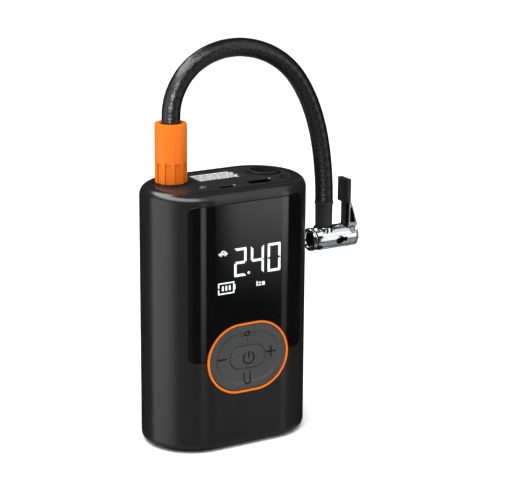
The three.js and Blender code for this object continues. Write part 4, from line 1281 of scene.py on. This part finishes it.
def make_lever_arm():
    """A chromed cam with a hub and an upright arm whose sloped back is relieved on both sides."""
    arm = block("lever_arm", (14.9, -LEVER_HALF, 5), (20.9, LEVER_HALF, 20))
    arm.data.materials.append(satin_chrome)
    pick(arm, "VERT", lambda place: place.z > 10 and place.x > 18)
    bpy.ops.transform.translate(value=(-4.1, 0, 0))
    let_go()
    pick(arm, "VERT", lambda place: place.z < 10 and place.x > 18)
    bpy.ops.transform.translate(value=(0.3, 0, 1.0))
    let_go()
    stood(arm, place=CHUCK)
    hub = along_y("hub", [[3.0, -LEVER_HALF], [3.2, -LEVER_HALF + 0.2], [3.2, LEVER_HALF - 0.2], [3.0, LEVER_HALF]],
                  PIVOT_X, PIVOT_Z, 96)
    weld(arm, hub)
    for side in (-1, 1):
        inner, outer = side * (LEVER_HALF - 1.2), side * (LEVER_HALF + 1)
        relief = block("relief", (15.9, min(inner, outer), 8.2), (19.2, max(inner, outer), 17.0))
        pick(relief, "VERT", lambda place: place.z > 12 and place.x > 18)
        bpy.ops.transform.translate(value=(-2.2, 0, 0))
        let_go()
        relief.data.materials.append(dark_steel_and_port_shade)
        cut(arm, stood(relief, place=CHUCK))
    flat = block("flat", (0, -8, -8), (30, 8, PIVOT_Z - 2.0))
    cut(arm, stood(flat, place=CHUCK))
    cut(arm, along_y("pin_hole", upright(1.8, -9, 9), PIVOT_X, PIVOT_Z, 32))
    merge_close(arm, 0.01)
    soften(arm, 0.25, 3, 40)
    return finish_piece(arm, "chuck_lever", satin_chrome, ["lever_yoke"], smooth=40)


def make_lever_paddle():
    low, high = span("lever_pad", 2)
    paddle_low = high - 14.2 - CHUCK.z
    paddle = plaque("lever_paddle", 1.65, 5.2, 0.75, paddle_low, high - CHUCK.z, 5)
    stood(paddle, place=CHUCK + Vector((14.15, 0, 0)))
    stem = block("stem", (13.1, -1.9, low - CHUCK.z), (14.6, 1.9, paddle_low + 1))
    weld(paddle, stood(stem, place=CHUCK))
    soften(paddle, 0.3, 3, 40)
    return finish_piece(paddle, "chuck_lever", paddle_plastic, ["lever_pad"], smooth=40)


def make_lever_axle():
    low, high = (place - CHUCK.y for place in span("lever_pin", 1))
    axle = along_y("lever_axle", eased(1.5, low, high, 0.3, 0.3, 4), PIVOT_X, PIVOT_Z, 48)
    return finish_piece(axle, "chuck_lever", bright_steel, ["lever_pin"])


chuck_pieces = [
    make_hose_collar(), make_chuck_shell(), make_chuck_lip(), make_chuck_gasket(), make_chuck_core(),
    make_lever_arm(), make_lever_paddle(), make_lever_axle(),
]

# ---- Floor, surround and lights ----


def make_floor():
    clear_hands()
    bpy.ops.mesh.primitive_plane_add(size=1)
    floor = bpy.context.object
    floor.name = "studio_floor"
    floor.scale = (30, 30, 1)
    fix_place(floor)
    material, shader = new_material("pale_floor", (0.93, 0.93, 0.93), 0.9)
    vary_colour(material, shader, noise(material, 3, 3), (0.92, 0.92, 0.92), (0.94, 0.94, 0.94))
    floor.data.materials.append(material)
    floor.visible_glossy = False


def make_surround():
    """A white room for the eye and for soft light. What gloss mirrors is a darker studio with soft boxes."""
    world = bpy.data.worlds.new("studio")
    bpy.context.scene.world = world
    world.use_nodes = True
    tree = world.node_tree
    tree.nodes.clear()

    def add(kind):
        return tree.nodes.new(kind)

    def maths(operation, *values):
        made = add("ShaderNodeMath")
        made.operation = operation
        for socket, value in zip(made.inputs, values):
            if isinstance(value, (int, float)):
                socket.default_value = value
            else:
                tree.links.new(value, socket)
        return made.outputs["Value"]

    def rise(value, low, high):
        made = add("ShaderNodeMapRange")
        made.interpolation_type = "SMOOTHSTEP"
        made.inputs["From Min"].default_value = low
        made.inputs["From Max"].default_value = high
        tree.links.new(value, made.inputs["Value"])
        return made.outputs["Result"]

    place = add("ShaderNodeTexCoord")
    split = add("ShaderNodeSeparateXYZ")
    tree.links.new(place.outputs["Generated"], split.inputs["Vector"])
    azimuth = maths("MULTIPLY", maths("ARCTAN2", split.outputs["Y"], split.outputs["X"]), 180 / math.pi)
    elevation = maths("MULTIPLY", maths("ARCSINE", split.outputs["Z"]), 180 / math.pi)

    def window(value, low, low_soft, high, high_soft):
        """1 between low and high, falling off softly outside them."""
        up = rise(value, low - low_soft, low)
        down = maths("SUBTRACT", 1.0, rise(value, high, high + high_soft))
        return maths("MULTIPLY", up, down)

    def soft_box(strength, azimuths, elevations):
        shape = maths("MULTIPLY", window(azimuth, *azimuths), window(elevation, *elevations))
        return maths("MULTIPLY", shape, strength)

    boxes = [
        soft_box(SURROUND["front"], (-59.8, 1.2, -40, 3), (-13.4, 4.4, 32, 5)),
        soft_box(SURROUND["edge"], (-55, 4, -46, 8), (-18, 16, 5, 10)),
        soft_box(SURROUND["strip"], (-95, 5, -89, 5), (-15, 7, 5, 10)),
        soft_box(SURROUND["hose"], (-144, 8, -122, 10), (-30, 10, 30, 10)),
        soft_box(SURROUND["left"], (152, 16, 200, 1), (-17, 14, 15, 20)),
        soft_box(SURROUND["left"], (-200, 1, -178, 36), (-17, 14, 15, 20)),
        soft_box(SURROUND["top"], (115, 25, 200, 1), (43, 7, 62, 8)),
        soft_box(SURROUND["top"], (-200, 1, -110, 30), (43, 7, 62, 8)),
        soft_box(SURROUND["below"], (-200, 1, 200, 1), (-55, 4, -34, 10)),
        soft_box(SURROUND["dish"], (-85, 12, -20, 14), (38, 8, 62, 10)),
    ]
    total = SURROUND["base"]
    for box in boxes:
        total = maths("ADD", total, box)
    mirrored = add("ShaderNodeBackground")
    tree.links.new(total, mirrored.inputs["Color"])
    soft = add("ShaderNodeBackground")
    overhead = maths("MULTIPLY", rise(elevation, 15.0, 70.0), SURROUND["sky"])
    tree.links.new(maths("ADD", overhead, SURROUND["room"]), soft.inputs["Strength"])
    white = add("ShaderNodeBackground")
    for background in (soft, white):
        background.inputs["Color"].default_value = (1, 1, 1, 1)
    path = add("ShaderNodeLightPath")
    seen = add("ShaderNodeMixShader")
    tree.links.new(path.outputs["Is Camera Ray"], seen.inputs["Fac"])
    tree.links.new(soft.outputs["Background"], seen.inputs[1])
    tree.links.new(white.outputs["Background"], seen.inputs[2])
    mix = add("ShaderNodeMixShader")
    output = add("ShaderNodeOutputWorld")
    tree.links.new(path.outputs["Is Glossy Ray"], mix.inputs["Fac"])
    tree.links.new(seen.outputs["Shader"], mix.inputs[1])
    tree.links.new(mirrored.outputs["Background"], mix.inputs[2])
    tree.links.new(mix.outputs["Shader"], output.inputs["Surface"])


SURROUND = {
    "front": 1.3, "edge": 0.35, "strip": 1.0, "hose": 0.06, "left": 1.4, "top": 7.0, "below": 0.3, "dish": 0.9,
    "base": 0.012, "room": 0.7, "sky": 0.9,
}


def make_light(name, place, size, power):
    clear_hands()
    bpy.ops.object.light_add(type="AREA", location=place)
    light = bpy.context.object
    light.name = name
    light.data.shape = "RECTANGLE"
    light.data.size, light.data.size_y = size
    light.data.energy = power
    light.rotation_euler = (Vector((0, 0, 0.09)) - Vector(place)).to_track_quat("-Z", "Y").to_euler()
    light.visible_glossy = False


def make_hose_light():
    """A tall narrow lamp that only the hose receives, for the one streak that its strands show."""
    make_light("hose_strip", (-0.815, -0.845, 0.34), (0.14, 0.9), 13)
    light = bpy.context.object
    light.visible_glossy = True
    receivers = bpy.data.collections.new("hose_strip_receivers")
    receivers.objects.link(hose_cord)
    light.light_linking.receiver_collection = receivers


make_floor()
make_surround()
make_hose_light()
make_light("overhead_panel", (-0.35, -0.15, 1.3), (0.8, 0.8), 16)
make_light("key_panel", (-1.1, -0.9, 0.9), (0.6, 0.7), 5)
bpy.context.scene.view_settings.view_transform = "Standard"
